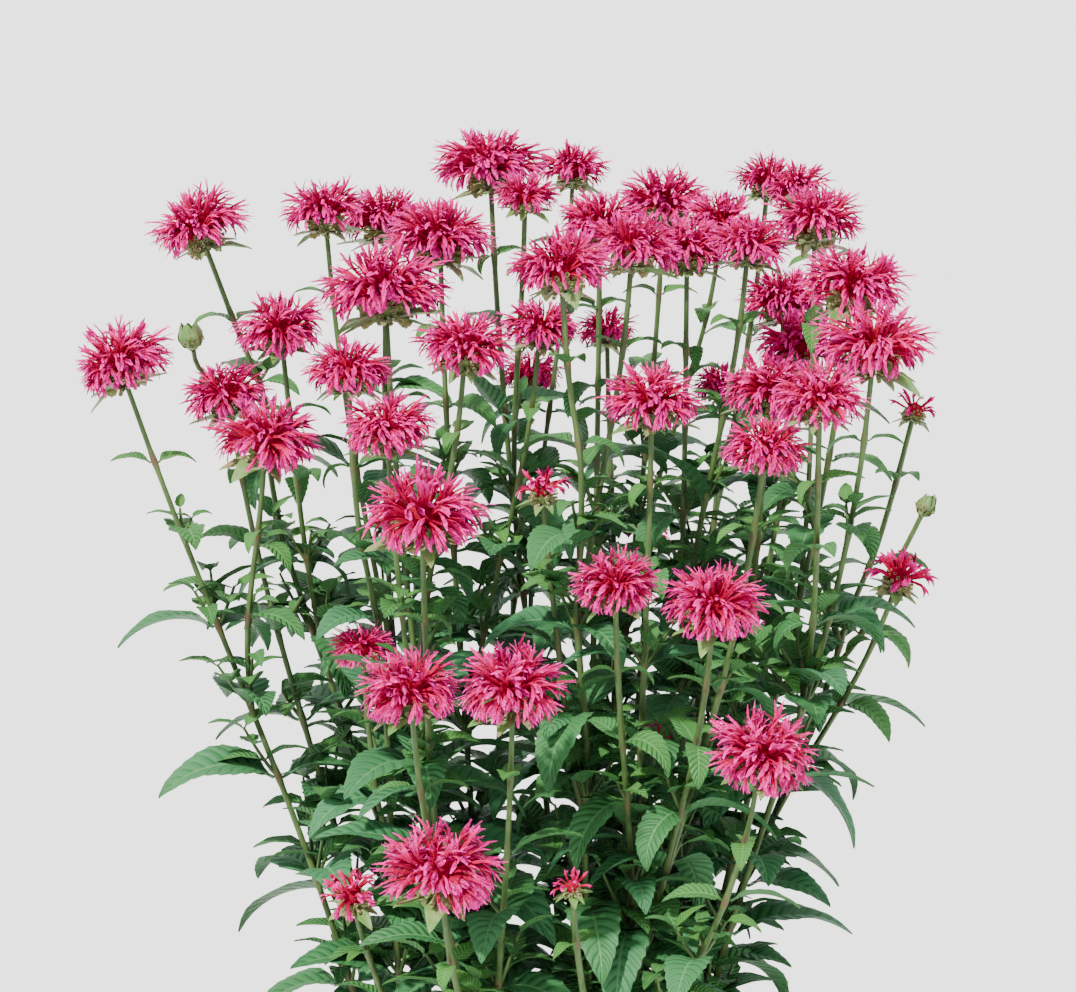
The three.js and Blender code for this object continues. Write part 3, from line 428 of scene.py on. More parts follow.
def stem_at(path, sums, back):
    """The point of a stem at a length back from its head, and the way the stem runs there."""
    i = 1
    while i < len(sums) - 1 and sums[i] < back:
        i += 1
    share = (back - sums[i - 1]) / (sums[i] - sums[i - 1])
    upper, lower = path[len(path) - i], path[len(path) - 1 - i]
    return upper * (1 - share) + lower * share, unit(upper - lower)


def stem_radius(bloom, share):
    foot = STEM_FOOT if bloom["parent"] is None else STEM_TOP + BRANCH_STOUTER
    return foot + (STEM_TOP - foot) * share


def square_axes(along, turn):
    """Two directions square to a stem and to each other, turned about it."""
    lead = np.array([math.cos(turn), math.sin(turn), 0.0])
    across = unit(lead - along * lead.dot(along))
    return across, np.cross(along, across)


def level_turn(way, angle):
    """A level direction, turned by an angle about the upright."""
    c, s = math.cos(angle), math.sin(angle)
    return np.array([way[0] * c - way[1] * s, way[0] * s + way[1] * c, 0.0])


def leaf_points(leaf, shares):
    """Points on the midrib at the given shares, with the direction ahead, the side and the normal there."""
    slope = leaf["rise"] - leaf["droop"] * shares
    ahead = leaf["long"] * (math.sin(leaf["rise"]) - np.sin(slope)) / leaf["droop"]
    above = leaf["long"] * (np.cos(slope) - math.cos(leaf["rise"])) / leaf["droop"]
    middle = leaf["root"] + np.outer(ahead, leaf["out"]) + np.outer(above, UP)
    front = np.outer(np.cos(slope), leaf["out"]) + np.outer(np.sin(slope), UP)
    flat = unit(np.cross(leaf["out"], UP))
    normal = np.cross(flat, front)
    side = flat * math.cos(leaf["roll"]) + normal * math.sin(leaf["roll"])
    return middle, front, side, np.cross(side, front)


def half_width(leaf, shares):
    rounded = np.maximum(np.sin(np.pi * shares**0.62), 0)
    return leaf["long"] * LEAF["slender"] * 0.5 * rounded**0.8


def leaf_samples(leaf):
    """Points on the midrib and on both edges, for the tests of what a leaf would touch."""
    middle, _, side, normal = leaf_points(leaf, SHARES)
    half = half_width(leaf, SHARES)[:, None]
    edge = normal * half * LEAF["fold"]
    return np.stack([middle, middle + side * half + edge, middle - side * half + edge], axis=1).reshape(-1, 3)


print("a full leaf's widest mm:", round(2 * float(half_width(dict(long=LEAF["longest"]), SHARES).max()), 1))

# %% [markdown]
# Room for leaves. Real leaves push past each other as they grow. Here a leaf is tested before it is kept: no
# point of it may come too near a bloom, a stem or an earlier leaf. A leaf keeps clearer of another clump
# than of its own, because leaves of one clump may become one body but two clumps must not touch.

# %% What leaves keep clear of
LEAVES_WITHIN = 150.0
ROOT_SAMPLES = 6


class Placed:
    """What the leaves must keep clear of, as arrays."""

    def __init__(self):
        self.centres = np.array([b["middle"] for b in blooms])
        self.radii = np.array([b["radius"] for b in blooms])
        self.starts = paths[:, :-1].reshape(-1, 3)
        self.runs = np.diff(paths, axis=1).reshape(-1, 3)
        self.stems = np.repeat(np.arange(len(blooms)), STEM_POINTS)
        self.stem_clumps = np.array([blooms[s]["clump"] for s in self.stems])
        self.roots, self.longs, self.clumps, self.samples = [], [], [], []

    def add(self, leaf, samples):
        """Keeps a leaf, so that later ones stay clear of it."""
        self.roots.append(leaf["root"])
        self.longs.append(leaf["long"])
        self.clumps.append(leaf["clump"])
        self.samples.append(samples)

    def clear_of_blooms(self, samples, ease):
        away = samples[:, None] - self.centres[None]
        wide = self.radii + LEAF["clear"] * ease
        under_or_over = np.where(away[..., 2] > 0, BLOOM["high"], BLOOM["under"])
        tall = under_or_over * self.radii + LEAF["clear"] * ease
        return not (((away[..., :2] ** 2).sum(2) / wide**2 + away[..., 2] ** 2 / tall**2) < 1).any()

    def clear_of_stems(self, leaf, samples, ease):
        near = np.abs(self.starts[:, 2] - leaf["root"][2]) < LEAVES_WITHIN
        starts, runs, stems = self.starts[near], self.runs[near], self.stems[near]
        same = self.stem_clumps[near] == leaf["clump"]
        need = np.where(same, LEAF["clear_same"], LEAF["clear_stem"]) * ease
        to = samples[:, None] - starts[None]
        share = np.clip((to * runs).sum(2) / (runs * runs).sum(1), 0, 1)
        gap = np.linalg.norm(to - runs * share[..., None], axis=2)
        own = (stems == leaf["stem"])[None] & (np.arange(len(samples)) < ROOT_SAMPLES)[:, None]
        return not ((gap < need) & ~own).any()

    def clear_of_leaves(self, leaf, samples, ease):
        if not self.roots:
            return True
        same = np.array(self.clumps) == leaf["clump"]
        need = np.where(same, LEAF["clear_same"], LEAF["clear_leaf"]) * ease
        reach = np.linalg.norm(np.array(self.roots) - leaf["root"], axis=1)
        for k in np.nonzero(reach <= np.array(self.longs) + leaf["long"] + need)[0]:
            gap = samples[:, None] - self.samples[k][None]
            if ((gap * gap).sum(2) < need[k] ** 2).any():
                return False
        return True

    def clear(self, leaf, samples, ease=1.0):
        """Whether a leaf clears the pot, blooms, stems and earlier leaves. Ease lowers the need."""
        above_pot = not (samples[:, 2] < POT_HEIGHT + LEAF["clear"]).any()
        return (above_pot and self.clear_of_blooms(samples, ease) and self.clear_of_stems(leaf, samples, ease)
                and self.clear_of_leaves(leaf, samples, ease))


placed = Placed()
print("pieces of stem to keep clear of:", len(placed.starts))

# %% [markdown]
# The large leaves. Pairs of leaves go down each stem from its head, longer and farther apart as they go,
# each pair a quarter turn from the last. A leaf is tried in a few turns, sags and lengths, and the first
# one that keeps clear is kept. One that never fits is remembered, for a smaller leaf may still squeeze in.

# %% Leaf growth
LEAF_TRIES = (
    (0, 0, 1), (0, 0.5, 1), (0.35, 0.1, 1), (-0.35, 0.1, 1), (0, -0.4, 0.95), (0.6, 0.3, 0.9),
    (-0.6, 0.3, 0.9), (0, 0.2, 0.8), (0.4, 0.8, 0.8), (-0.4, 0.8, 0.8), (0, -0.6, 0.75), (0.7, 0, 0.65),
    (-0.7, 0, 0.65), (0, 0.9, 0.6),
)
PAIRS_MOST = 14
BRANCH_BARE = 22.0
LEAF_FULL_BACK = 330.0


def try_leaf(leaf, facing, ease):
    """The leaf in the first turn, sag and length that keeps it clear, or None."""
    flat = unit(np.array([facing[0], facing[1], 0.0]))
    for sideways, sag, shrink in LEAF_TRIES:
        out = level_turn(flat, sideways)
        tried = dict(leaf, out=out, root=leaf["point"] + out * leaf["thick"])
        tried.update(rise=leaf["rise"] - sag * 0.5, droop=leaf["droop"] + sag, long=leaf["long"] * shrink)
        samples = leaf_samples(tried)
        if placed.clear(tried, samples, ease):
            placed.add(tried, samples)
            return tried
    return None


def pair_of_leaves(stem, knot, pair, full, whole, turn, draw):
    """The two wished leaves at a knot and the way each faces, opposite each other."""
    bloom = blooms[stem]
    across, forward = square_axes(knot["along"], turn)
    for half in (0, 1):
        angle = math.pi / 2 * (pair % 2 + 2 * half)
        leaf = dict(clump=bloom["clump"], stem=stem, back=knot["back"], point=knot["point"])
        leaf["thick"] = stem_radius(bloom, 1 - knot["back"] / whole)
        leaf["long"] = full * draw(0.86, 1.14)
        leaf["droop"] = draw(0.9, 1.5)
        leaf["rise"] = draw(0.35, 0.8)
        leaf["roll"] = draw(-0.3, 0.3)
        yield leaf, across * math.cos(angle) + forward * math.sin(angle)


def grow_leaves():
    grown, missed, turns, knots = [], [], [], []
    for stem, bloom in enumerate(blooms):
        draw = seeded(stem + SEEDS["leaves"])
        path = paths[stem]
        sums = back_lengths(path)
        whole = sums[-1]
        turn = draw(0, math.pi / 2)
        turns.append(turn)
        back = LEAF["first_below"] * (0.5 + bloom["radius"] / 60) * draw(0.85, 1.15)
        for pair in range(PAIRS_MOST):
            point, along = stem_at(path, sums, back)
            low = point[2] < SOIL_TOP + LEAF["lowest"]
            if low if bloom["parent"] is None else back > whole - BRANCH_BARE:
                break
            knots.append(dict(stem=stem, back=back, point=point, along=along))
            share = min(1, back / LEAF_FULL_BACK)
            full = LEAF["shortest"] + (LEAF["longest"] - LEAF["shortest"]) * share**0.7
            for leaf, facing in pair_of_leaves(stem, knots[-1], pair, full, whole, turn, draw):
                made = try_leaf(leaf, facing, 1.0)
                if made:
                    grown.append(made)
                else:
                    missed.append((leaf, facing))
            back += LEAF["spacing"] * draw(0.85, 1.15) * (0.75 + 0.25 * share)
    return grown, missed, turns, knots


leaves, missed, turns, knots = grow_leaves()
print("leaves:", len(leaves), "large:", sum(leaf["long"] >= LEAF["least"] for leaf in leaves),
      "missed:", len(missed))

# %% [markdown]
# Small leaves that the solids leave out. Where a full leaf found no room, a shorter one may squeeze in with
# less clearance, as in a real crowded clump. Near a head small leaves shrink further, because a real stem
# ends in ever smaller pairs. All of them are shortened until they stay inside the solids' box.

# %% Squeezed leaves
SQUEEZE = 0.35
SQUEEZED_SHORTER = 0.85
SQUEEZED_LONGEST = 62.0
SMALL_BY_HEAD, SMALL_WITHIN = 0.4, 150.0
BOX_LOW, BOX_HIGH = np.array(cad_box) / MM
BOX_SPARE = 2.5
SHORTEN_STEPS, SHORTEN = 12, 0.92


def squeeze_in(missed_leaves):
    """Shorter leaves where a full one found no room, tried with less clearance."""
    shorter = lambda leaf: dict(leaf, long=min(leaf["long"] * SQUEEZED_SHORTER, SQUEEZED_LONGEST))
    tried = [try_leaf(shorter(leaf), facing, SQUEEZE) for leaf, facing in missed_leaves]
    return [leaf for leaf in tried if leaf]


def in_box(points):
    return np.all(points > BOX_LOW + BOX_SPARE) and np.all(points < BOX_HIGH - BOX_SPARE)


def keep_in_box(leaf):
    """Shortens a leaf that the solids don't have until it stays inside their box."""
    for _ in range(SHORTEN_STEPS):
        if in_box(leaf_samples(leaf)):
            break
        leaf["long"] *= SHORTEN


squeezed = squeeze_in(missed)
print("squeezed in:", len(squeezed), "of", len(missed))

# %% [markdown]
# Side shoots. The axils of the lower leaves carry little shoots of fresh, yellower leaves: a thin stalk with
# one to four pairs, the largest at its foot. They fill the space between the large leaves without touching
# the plant's main shapes. A shoot is left out where fewer than two of its leaves find room.

# %% Side shoots
SHOOT = dict(
    first_back=95.0, chance=0.56, grown_over=230.0, tall=(7, 20), taller=46, next_pair_at=(11, 30, 48),
    long=(18, 34), longer=26, out=2, out_share=(0.3, 0.7), rise_power=1.2, ease=SQUEEZE * 0.5,
)


def shoot_leaf(knot, out, lean, tall, longest, grown, step, pairs, draw):
    """One leaf of a shoot: pairs are turned a quarter against each other, from the tip down."""
    low = (step // 2) / (pairs + 0.4)
    facing = level_turn(out, math.pi * step + math.pi / 2 * (step // 2) + draw(-0.3, 0.3))
    return dict(
        clump=blooms[knot["stem"]]["clump"], stem=knot["stem"], back=knot["back"], out=facing, share=1 - low,
        root=knot["point"] + lean * (1 - low) + UP * tall * (1 - low) ** SHOOT["rise_power"],
        long=longest * draw(0.75, 1.1) * (0.7 + 0.5 * low), rise=draw(0.35, 1.0), droop=draw(0.6, 1.3),
        roll=draw(-0.3, 0.3), fresh=draw(0.45, 1.0) * (1 - 0.5 * grown),
    )


def grow_shoot(knot, way, grown, draw):
    """A shoot's stalk and its leaves, or nothing where fewer than two leaves find room."""
    out = unit(np.array([way[0], way[1], 0.0]))
    tall = draw(*SHOOT["tall"]) + grown * draw(0, SHOOT["taller"])
    pairs = 1 + sum(tall > height for height in SHOOT["next_pair_at"])
    longest = draw(*SHOOT["long"]) + SHOOT["longer"] * grown
    lean = out * (SHOOT["out"] + draw(*SHOOT["out_share"]) * tall)
    made = []
    for step in range(2 * pairs):
        leaf = shoot_leaf(knot, out, lean, tall, longest, grown, step, pairs, draw)
        samples = leaf_samples(leaf)
        if placed.clear(leaf, samples, SHOOT["ease"]):
            made.append(leaf)
            placed.add(leaf, samples)
    if len(made) < 2:
        return [], []
    top = max(leaf["share"] for leaf in made)
    return [(knot["stem"], knot["point"], lean * top, tall * top ** SHOOT["rise_power"])], made


def grow_shoots():
    """Shoots in the axils of all leaves far enough down, fuller low on the plant."""
    stalks, small = [], []
    for order, knot in enumerate(knots):
        draw = seeded(order + SEEDS["shoots"])
        if knot["back"] < SHOOT["first_back"]:
            continue
        grown = min(1, (knot["back"] - SHOOT["first_back"]) / SHOOT["grown_over"])
        across, forward = square_axes(knot["along"], turns[knot["stem"]])
        for way in (across, -across, forward, -forward):
            if draw(0, 1) <= SHOOT["chance"]:
                stalk, made = grow_shoot(knot, way, grown, draw)
                stalks += stalk
                small += made
    return stalks, small


stalks, shoot_leaves = grow_shoots()
lesser = [leaf for leaf in leaves if leaf["long"] < LEAF["least"]]
for leaf in squeezed + lesser:
    leaf["long"] *= SMALL_BY_HEAD + (1 - SMALL_BY_HEAD) * min(leaf["back"] / SMALL_WITHIN, 1)
for leaf in squeezed + shoot_leaves + lesser:
    keep_in_box(leaf)
print("shoots:", len(stalks), "their leaves:", len(shoot_leaves))

# %% [markdown]
# One collector for meshes. Leaves, stems and bracts are swept shapes: a row of closed loops joined by bands
# of four-sided faces. Collecting them in arrays first makes one mesh for each clump, and values kept at the
# points, such as how far along a leaf a point lies, drive the finishes later.

# %% A collector of swept shapes
VALUES = ("along", "across", "tone", "under", "fresh")
SPRING_VALUES = {"ahead": "FLOAT_VECTOR", "upward": "FLOAT_VECTOR", "size": "FLOAT", "shape": "INT"}
SHARP_FROM = math.radians(48)


def linked(name, data):
    """An object for the data, put in the scene."""
    thing = bpy.data.objects.new(name, data)
    bpy.context.scene.collection.objects.link(thing)
    return thing


def keep_value(mesh, name, kind, values):
    """Keeps a value for each point of a mesh under a name that trees and finishes read."""
    layer = mesh.attributes.new(name, kind, "POINT")
    layer.data.foreach_set("vector" if kind == "FLOAT_VECTOR" else "value", values.reshape(-1))


class Collector:
    """Shapes and their values in arrays, until they are built as one mesh."""

    def __init__(self):
        self.points, self.faces, self.finishes = [], [], []
        self.values = {key: [] for key in VALUES}
        self.count = 0

    def sweep(self, loops, finish, **values):
        """loops: shapes x rows x points x 3. Bands join the rows, and a cap closes each end."""
        shapes, rows, around = loops.shape[:3]
        base = self.count + np.arange(shapes)[:, None, None] * rows * around
        row = np.arange(rows - 1)[None, :, None] * around
        here = np.arange(around)[None, None, :]
        step = (here + 1) % around
        quads = np.stack([base + row + here, base + row + step, base + row + around + step,
                          base + row + around + here], axis=-1).reshape(-1, 4)
        foot = base[:, 0] + np.arange(around)[::-1][None]
        tip = base[:, 0] + (rows - 1) * around + np.arange(around)[None]
        self.points.append(loops.reshape(-1, 3))
        self.faces += [quads, foot, tip]
        self.finishes += [finish] * 3
        for key in VALUES:
            value = np.broadcast_to(values.get(key, 0.0), (shapes, rows, around))
            self.values[key].append(value.reshape(-1))
        self.count += shapes * rows * around

    def build(self, name, materials, springs=None):
        """A mesh object in metres. springs adds loose points that copies will spring from."""
        springs = springs or {"place": np.zeros((0, 3))}
        loose = len(springs["place"])
        points = np.concatenate([*self.points, springs["place"]]) * MM
        mesh = bpy.data.meshes.new(name)
        mesh.vertices.add(len(points))
        mesh.vertices.foreach_set("co", points.astype(np.float32).reshape(-1))
        for material in materials:
            mesh.materials.append(material)
        self.add_faces(mesh)
        for key, parts in self.values.items():
            ending = np.zeros(loose) + springs.get(key, 0.0)
            keep_value(mesh, key, "FLOAT", np.concatenate([*parts, ending]).astype(np.float32))
        if loose:
            keep_value(mesh, "springs", "BOOLEAN", np.arange(len(points)) >= len(points) - loose)
            for key, kind in SPRING_VALUES.items():
                whole = np.zeros((len(points), *springs[key].shape[1:]), dtype=springs[key].dtype)
                whole[-loose:] = springs[key]
                keep_value(mesh, key, kind, whole)
        return linked(name, mesh)

    def add_faces(self, mesh):
        corners = np.concatenate([f.reshape(-1) for f in self.faces])
        sizes = np.concatenate([np.full(len(f), f.shape[1]) for f in self.faces])
        kinds = np.concatenate([np.full(len(f), k) for f, k in zip(self.faces, self.finishes)])
        mesh.loops.add(len(corners))
        mesh.loops.foreach_set("vertex_index", corners.astype(np.int32))
        mesh.polygons.add(len(sizes))
        mesh.polygons.foreach_set("loop_start", (np.cumsum(sizes) - sizes).astype(np.int32))
        mesh.polygons.foreach_set("material_index", kinds.astype(np.int32))
        mesh.update(calc_edges=True)
        mesh.validate()
        mesh.shade_smooth()
        mesh.set_sharp_from_angle(angle=SHARP_FROM)


print("values kept at points:", VALUES, "and where copies spring:", tuple(SPRING_VALUES))

# %% [markdown]
# Blades. A leaf here is a thin closed shape: a channelled stalk that widens into a blade with a fold along
# the midrib, edges that wave a little, and forward-pointing teeth made by rows that step out and in. All
# blades of one kind are made at once with arrays, each from its own few numbers. A bract is the same shape
# with fewer teeth.

# %% Leaves and bracts as blades
STALK_SHARES = (0.0, 0.045, 0.09)
BLADE_FROM, BLADE_OVER = 0.06, 0.09
TEETH_FROM, TOOTH_FOOT, TOOTH_TIP = 0.13, 0.05, 0.78
BLADE_THICK, RIB_THICK = 0.22, 0.55
WAVES, WAVE_APART = 13, 2.399


def loop_axes(out, up, slope, roll):
    """Side and normal along blades that bend in the plane of out and up."""
    c, s = np.cos(slope)[..., None], np.sin(slope)[..., None]
    front = c * out[:, None] + s * up[:, None]
    flat = np.cross(out, up)
    flat = (flat / np.linalg.norm(flat, axis=1)[:, None])[:, None] * np.ones_like(front)
    normal = np.cross(flat, front)
    side = flat * np.cos(roll)[:, None, None] + normal * np.sin(roll)[:, None, None]
    return side, np.cross(side, front)


def blade_shares(teeth):
    """Where the rows of a blade lie along it: the stalk, two rows for each tooth, and the tip."""
    steps = [TEETH_FROM + (1 - TEETH_FROM) * (tooth + at) / teeth
             for tooth in range(teeth) for at in (TOOTH_FOOT, TOOTH_TIP)]
    return np.array([*STALK_SHARES, *steps, 1.0])


def blade_lift(shares, across, below, wide, thin, wave):
    """How far each point of the rows stands off the arc: fold, waves of the edge, rib and thickness."""
    blade = np.clip((shares - BLADE_FROM) / BLADE_OVER, 0, 1)[None, :, None]
    lift = blade * wide * (LEAF["fold"] * np.abs(across) + 0.1 * np.sin(np.pi * np.abs(across)))
    phase = WAVES * shares[None, :, None] + (np.arange(len(wide)) * WAVE_APART)[:, None, None]
    lift = lift + blade * wide * wave * np.sin(phase + 1.2 * across) * across**2
    hollow = np.sqrt(np.maximum(1 - (across * (1 + 2.2 * blade)) ** 2, 0))
    rib = thin[..., None] * (RIB_THICK + 1.3 * (1 - blade)) * hollow
    return lift - below * (rib + BLADE_THICK + 0.1 * blade)


def add_blades(collector, blades, finish, teeth, spans, notch=0.13, stalk=0.95, slender=None, wave=0.06):
    if not blades:
        return
    get = lambda key, other=0.0: np.array([blade.get(key, other) for blade in blades], dtype=float)
    out, roots, long, up = get("out"), get("root"), get("long"), get("up", UP)
    rise, droop, roll, tone, fresh = get("rise"), get("droop"), get("roll"), get("tone"), get("fresh")
    shares = blade_shares(teeth)
    slope = rise[:, None] - droop[:, None] * shares
    ahead = long[:, None] * (np.sin(rise)[:, None] - np.sin(slope)) / droop[:, None]
    above = long[:, None] * (np.cos(slope) - np.cos(rise)[:, None]) / droop[:, None]
    middle = roots[:, None] + ahead[..., None] * out[:, None] + above[..., None] * up[:, None]
    side, normal = loop_axes(out, up, slope, roll)

    widest = LEAF["slender"] if slender is None else slender
    rounded = np.maximum(np.sin(np.pi * shares**0.62), 0) ** 0.8 * widest * 0.5
    rounded *= np.clip((shares - BLADE_FROM) / BLADE_OVER, 0, 1)
    toothed = np.ones(len(shares))
    toothed[len(STALK_SHARES):-1:2] -= notch
    thin = stalk * np.clip(long / 60, 0.35, 1.0)[:, None]
    smooth_half = rounded[None] * long[:, None] + thin * (1 - 0.75 * shares)
    half = rounded[None] * toothed[None] * long[:, None] + thin * (1 - 0.75 * shares)

    across = np.append(np.linspace(-1, 1, spans + 1), 0.0)
    below = np.append(np.zeros(spans + 1), 1.0)
    edge = np.abs(across) == 1
    reach = np.where(edge, half[..., None], smooth_half[..., None]) * across
    lift = blade_lift(shares, across, below, smooth_half[..., None], thin, wave)
    loops = middle[:, :, None] + side[:, :, None] * reach[..., None] + normal[:, :, None] * lift[..., None]
    collector.sweep(loops, finish, along=shares[None, :, None], across=across[None, None],
                    tone=tone[:, None, None], under=np.where(edge, 0.4, below)[None, None],
                    fresh=fresh[:, None, None])


print("rows of a nine-toothed blade:", len(blade_shares(9)))

# %% [markdown]
# Stems. A bee balm's stem is square with blunt corners and swells a little where leaves join. Each path is
# cut into even steps, eased so that no corner shows, and a blunt square of eight points is swept along it.
# Crowns and the cores of the cups are flattened balls, swept in the same way.

# %% Stems, crowns and cup cores
STEM_STEP = 8.0
STEM_SLIM = 0.75
EASE_ROUNDS = 3
KNOT_LONG, KNOT_SWELLS = 4.5, 0.38
BLUNT = 0.62
SQUARE = np.array([(1, -BLUNT), (1, BLUNT), (BLUNT, 1), (-BLUNT, 1),
                   (-1, BLUNT), (-1, -BLUNT), (-BLUNT, -1), (BLUNT, -1)])
TURN_BETWEEN = 0.618


def even_run(path, step):
    """Even, eased points along a path, and how far back from its end each one lies."""
    steps = np.linalg.norm(np.diff(path, axis=0), axis=1)
    sums = np.concatenate([[0.0], np.cumsum(steps)])
    at = np.linspace(0, sums[-1], max(6, int(sums[-1] / step)) + 1)
    run = np.stack([np.interp(at, sums, path[:, k]) for k in range(3)], axis=1)
    for _ in range(EASE_ROUNDS):
        run[1:-1] = run[:-2] * 0.25 + run[1:-1] * 0.5 + run[2:] * 0.25
    return run, sums[-1] - at


def add_rod(collector, run, radii, turn, finish, **values):
    """A blunt square rod along a run of points."""
    along = np.gradient(run, axis=0)
    along /= np.linalg.norm(along, axis=1)[:, None]
    lead = np.array([math.cos(turn), math.sin(turn), 0.0])
    across = lead - along * (along @ lead)[:, None]
    across /= np.linalg.norm(across, axis=1)[:, None]
    forward = np.cross(along, across)
    offsets = across[:, None] * SQUARE[None, :, :1] + forward[:, None] * SQUARE[None, :, 1:]
    loops = run[:, None] + offsets * radii[:, None, None]
    collector.sweep(loops[None], finish, **values)


def add_stem(collector, index, finish):
    run, back = even_run(paths[index], STEM_STEP)
    swelling = np.zeros(len(run))
    for knot in knots:
        if knot["stem"] == index:
            swelling = np.maximum(swelling, np.exp(-((back - knot["back"]) / KNOT_LONG) ** 2))
    share = 1 - back / back[0]
    radii = stem_radius(blooms[index], share) * STEM_SLIM * (1 + KNOT_SWELLS * swelling)
    add_rod(collector, run, radii, turns[index], finish, along=share[None, :, None],
            under=swelling[None, :, None], tone=(index * TURN_BETWEEN) % 1.0)


def add_ball(collector, centre, axes, up, wide, high, finish, rows=7, around=10, **values):
    """A closed ball, wider or flatter along up."""
    angle = np.linspace(-math.pi / 2 * 0.96, math.pi / 2 * 0.96, rows)
    turn = np.arange(around) * 2 * math.pi / around
    ring = np.cos(turn)[:, None] * axes[0] + np.sin(turn)[:, None] * axes[1]
    rings = ring[None] * (np.cos(angle) * wide)[:, None, None]
    loops = centre + rings + up * (np.sin(angle) * high)[:, None, None]
    collector.sweep(loops[None], finish, **values)


def head_frame(index):
    """Where a head's cup sits: its foot, its seat, the way up and two ways across."""
    sums = back_lengths(paths[index])
    foot, up = stem_at(paths[index], sums, 0)
    axes = square_axes(up, turns[index])
    return foot, foot + up * CUP_HIGH * blooms[index]["radius"], up, axes


print("rods ready; first stem has", len(even_run(paths[0], STEM_STEP)[0]), "rings")

# %% [markdown]
# Finishes. Every finish is procedural: noise on Object coordinates gives uneven colour, and the values kept
# at the points say where a petal or a leaf begins and ends. A small helper keeps each finish to a few lines.
# Numbers that are the same all over a surface are set straight on the shader.

# %% A helper for finishes
def put(tree, socket, value):
    """Joins a node's output to a socket, or sets the socket to a number or a colour."""
    if isinstance(value, bpy.types.NodeSocket):
        tree.links.new(value, socket)
    elif isinstance(value, tuple) and len(value) == 3 and len(socket.default_value) == 4:
        socket.default_value = (*value, 1.0)
    else:
        socket.default_value = value


def new_node(tree, kind, props, inputs):
    """A node with its properties set and its inputs joined or set."""
    made = tree.nodes.new(kind)
    for key, value in props.items():
        setattr(made, key, value)
    for key, value in inputs.items():
        put(tree, made.inputs[key], value)
    return made


class Finish:
    """A material that is built a node at a time."""

    def __init__(self, name, **constants):
        self.material = bpy.data.materials.new(name)
        self.material.use_nodes = True
        self.tree = self.material.node_tree
        self.shader = self.tree.nodes["Principled BSDF"]
        for socket, value in constants.items():
            self.shader.inputs[socket.replace("_", " ")].default_value = value

    def node(self, kind, props, inputs, output=0):
        return new_node(self.tree, kind, props, inputs).outputs[output]

    def place(self, scale=(1, 1, 1)):
        coords = self.node("ShaderNodeTexCoord", {}, {}, "Object")
        return self.node("ShaderNodeMapping", {}, {"Vector": coords, "Scale": scale})

    def value(self, name):
        return self.node("ShaderNodeAttribute", {"attribute_name": name}, {}, "Fac")

    def noise(self, scale, detail=3.0, rough=0.55, where=None):
        return self.node("ShaderNodeTexNoise", {}, {"Vector": where or self.place(), "Scale": scale,
                                                    "Detail": detail, "Roughness": rough})

    def math(self, operation, a, b=0.0, c=0.0):
        return self.node("ShaderNodeMath", {"operation": operation}, {0: a, 1: b, 2: c})

    def span(self, value, low, high, to_low=0.0, to_high=1.0):
        return self.node("ShaderNodeMapRange", {"interpolation_type": "SMOOTHSTEP"},
                         {0: value, 1: low, 2: high, 3: to_low, 4: to_high})

    def blend(self, share, first, second, how="MIX"):
        return self.node("ShaderNodeMix", {"data_type": "RGBA", "blend_type": how},
                         {0: share, 6: first, 7: second}, 2)

    def ramp(self, value, stops):
        made = new_node(self.tree, "ShaderNodeValToRGB", {}, {0: value})
        for i, (at, colour) in enumerate(stops):
            stop = made.color_ramp.elements[i] if i < 2 else made.color_ramp.elements.new(at)
            stop.position, stop.color = at, (*colour, 1.0)
        return made.outputs[0]

    def bump(self, height, strength, distance):
        inputs = {"Height": height, "Strength": strength, "Distance": distance}
        put(self.tree, self.shader.inputs["Normal"], self.node("ShaderNodeBump", {}, inputs))

    def colour(self, value):
        put(self.tree, self.shader.inputs["Base Color"], value)
        return self.material

    def roughness(self, value):
        put(self.tree, self.shader.inputs["Roughness"], value)

    def times(self, first, second):
        return self.math("MULTIPLY", first, second)

    def shaded(self, share, colour, shade):
        """The colour, darkened by a shade where the share says."""
        return self.blend(share, colour, self.blend(1.0, colour, shade, "MULTIPLY"))


print("finish helpers:", [name for name in vars(Finish) if not name.startswith("_")])

# %% [markdown]
# The petals. A floret is deep crimson in its tube and turns to a hot, lighter pink at its lips; older and
# sunlit florets lean to salmon. The dark tube is partly the floret's own colour and partly painted shade
# deep in the head, and the palest stop at the lips' ends is a painted highlight. Real petals are finely
# veined along their length: dark streaks from one noise, which also grooves the surface, are partly those
# veins and partly painted shade in the grooves. Pale streaks near the lips, from a second noise, are painted
# highlights. The greens of the colours stay near zero, because a bright pink turns pastel in the render.

# %% Petal finish
# Ramps along a floret: the dark tube stops are partly real crimson and partly painted shade deep in the head;
# the last, palest stop is a painted highlight.
PETAL_FRESH = [(0.0, (0.34, 0.0, 0.024)), (0.36, (0.48, 0.0, 0.046)), (0.62, (0.53, 0.0, 0.080)),
               (0.88, (0.68, 0.0, 0.220)), (1.0, (0.90, 0.01, 0.39))]
PETAL_OLD = [(0.0, (0.36, 0.0, 0.016)), (0.5, (0.57, 0.0, 0.046)), (1.0, (0.86, 0.01, 0.19))]
SUNLIT_PINK = (1.0, 0.14, 0.56)


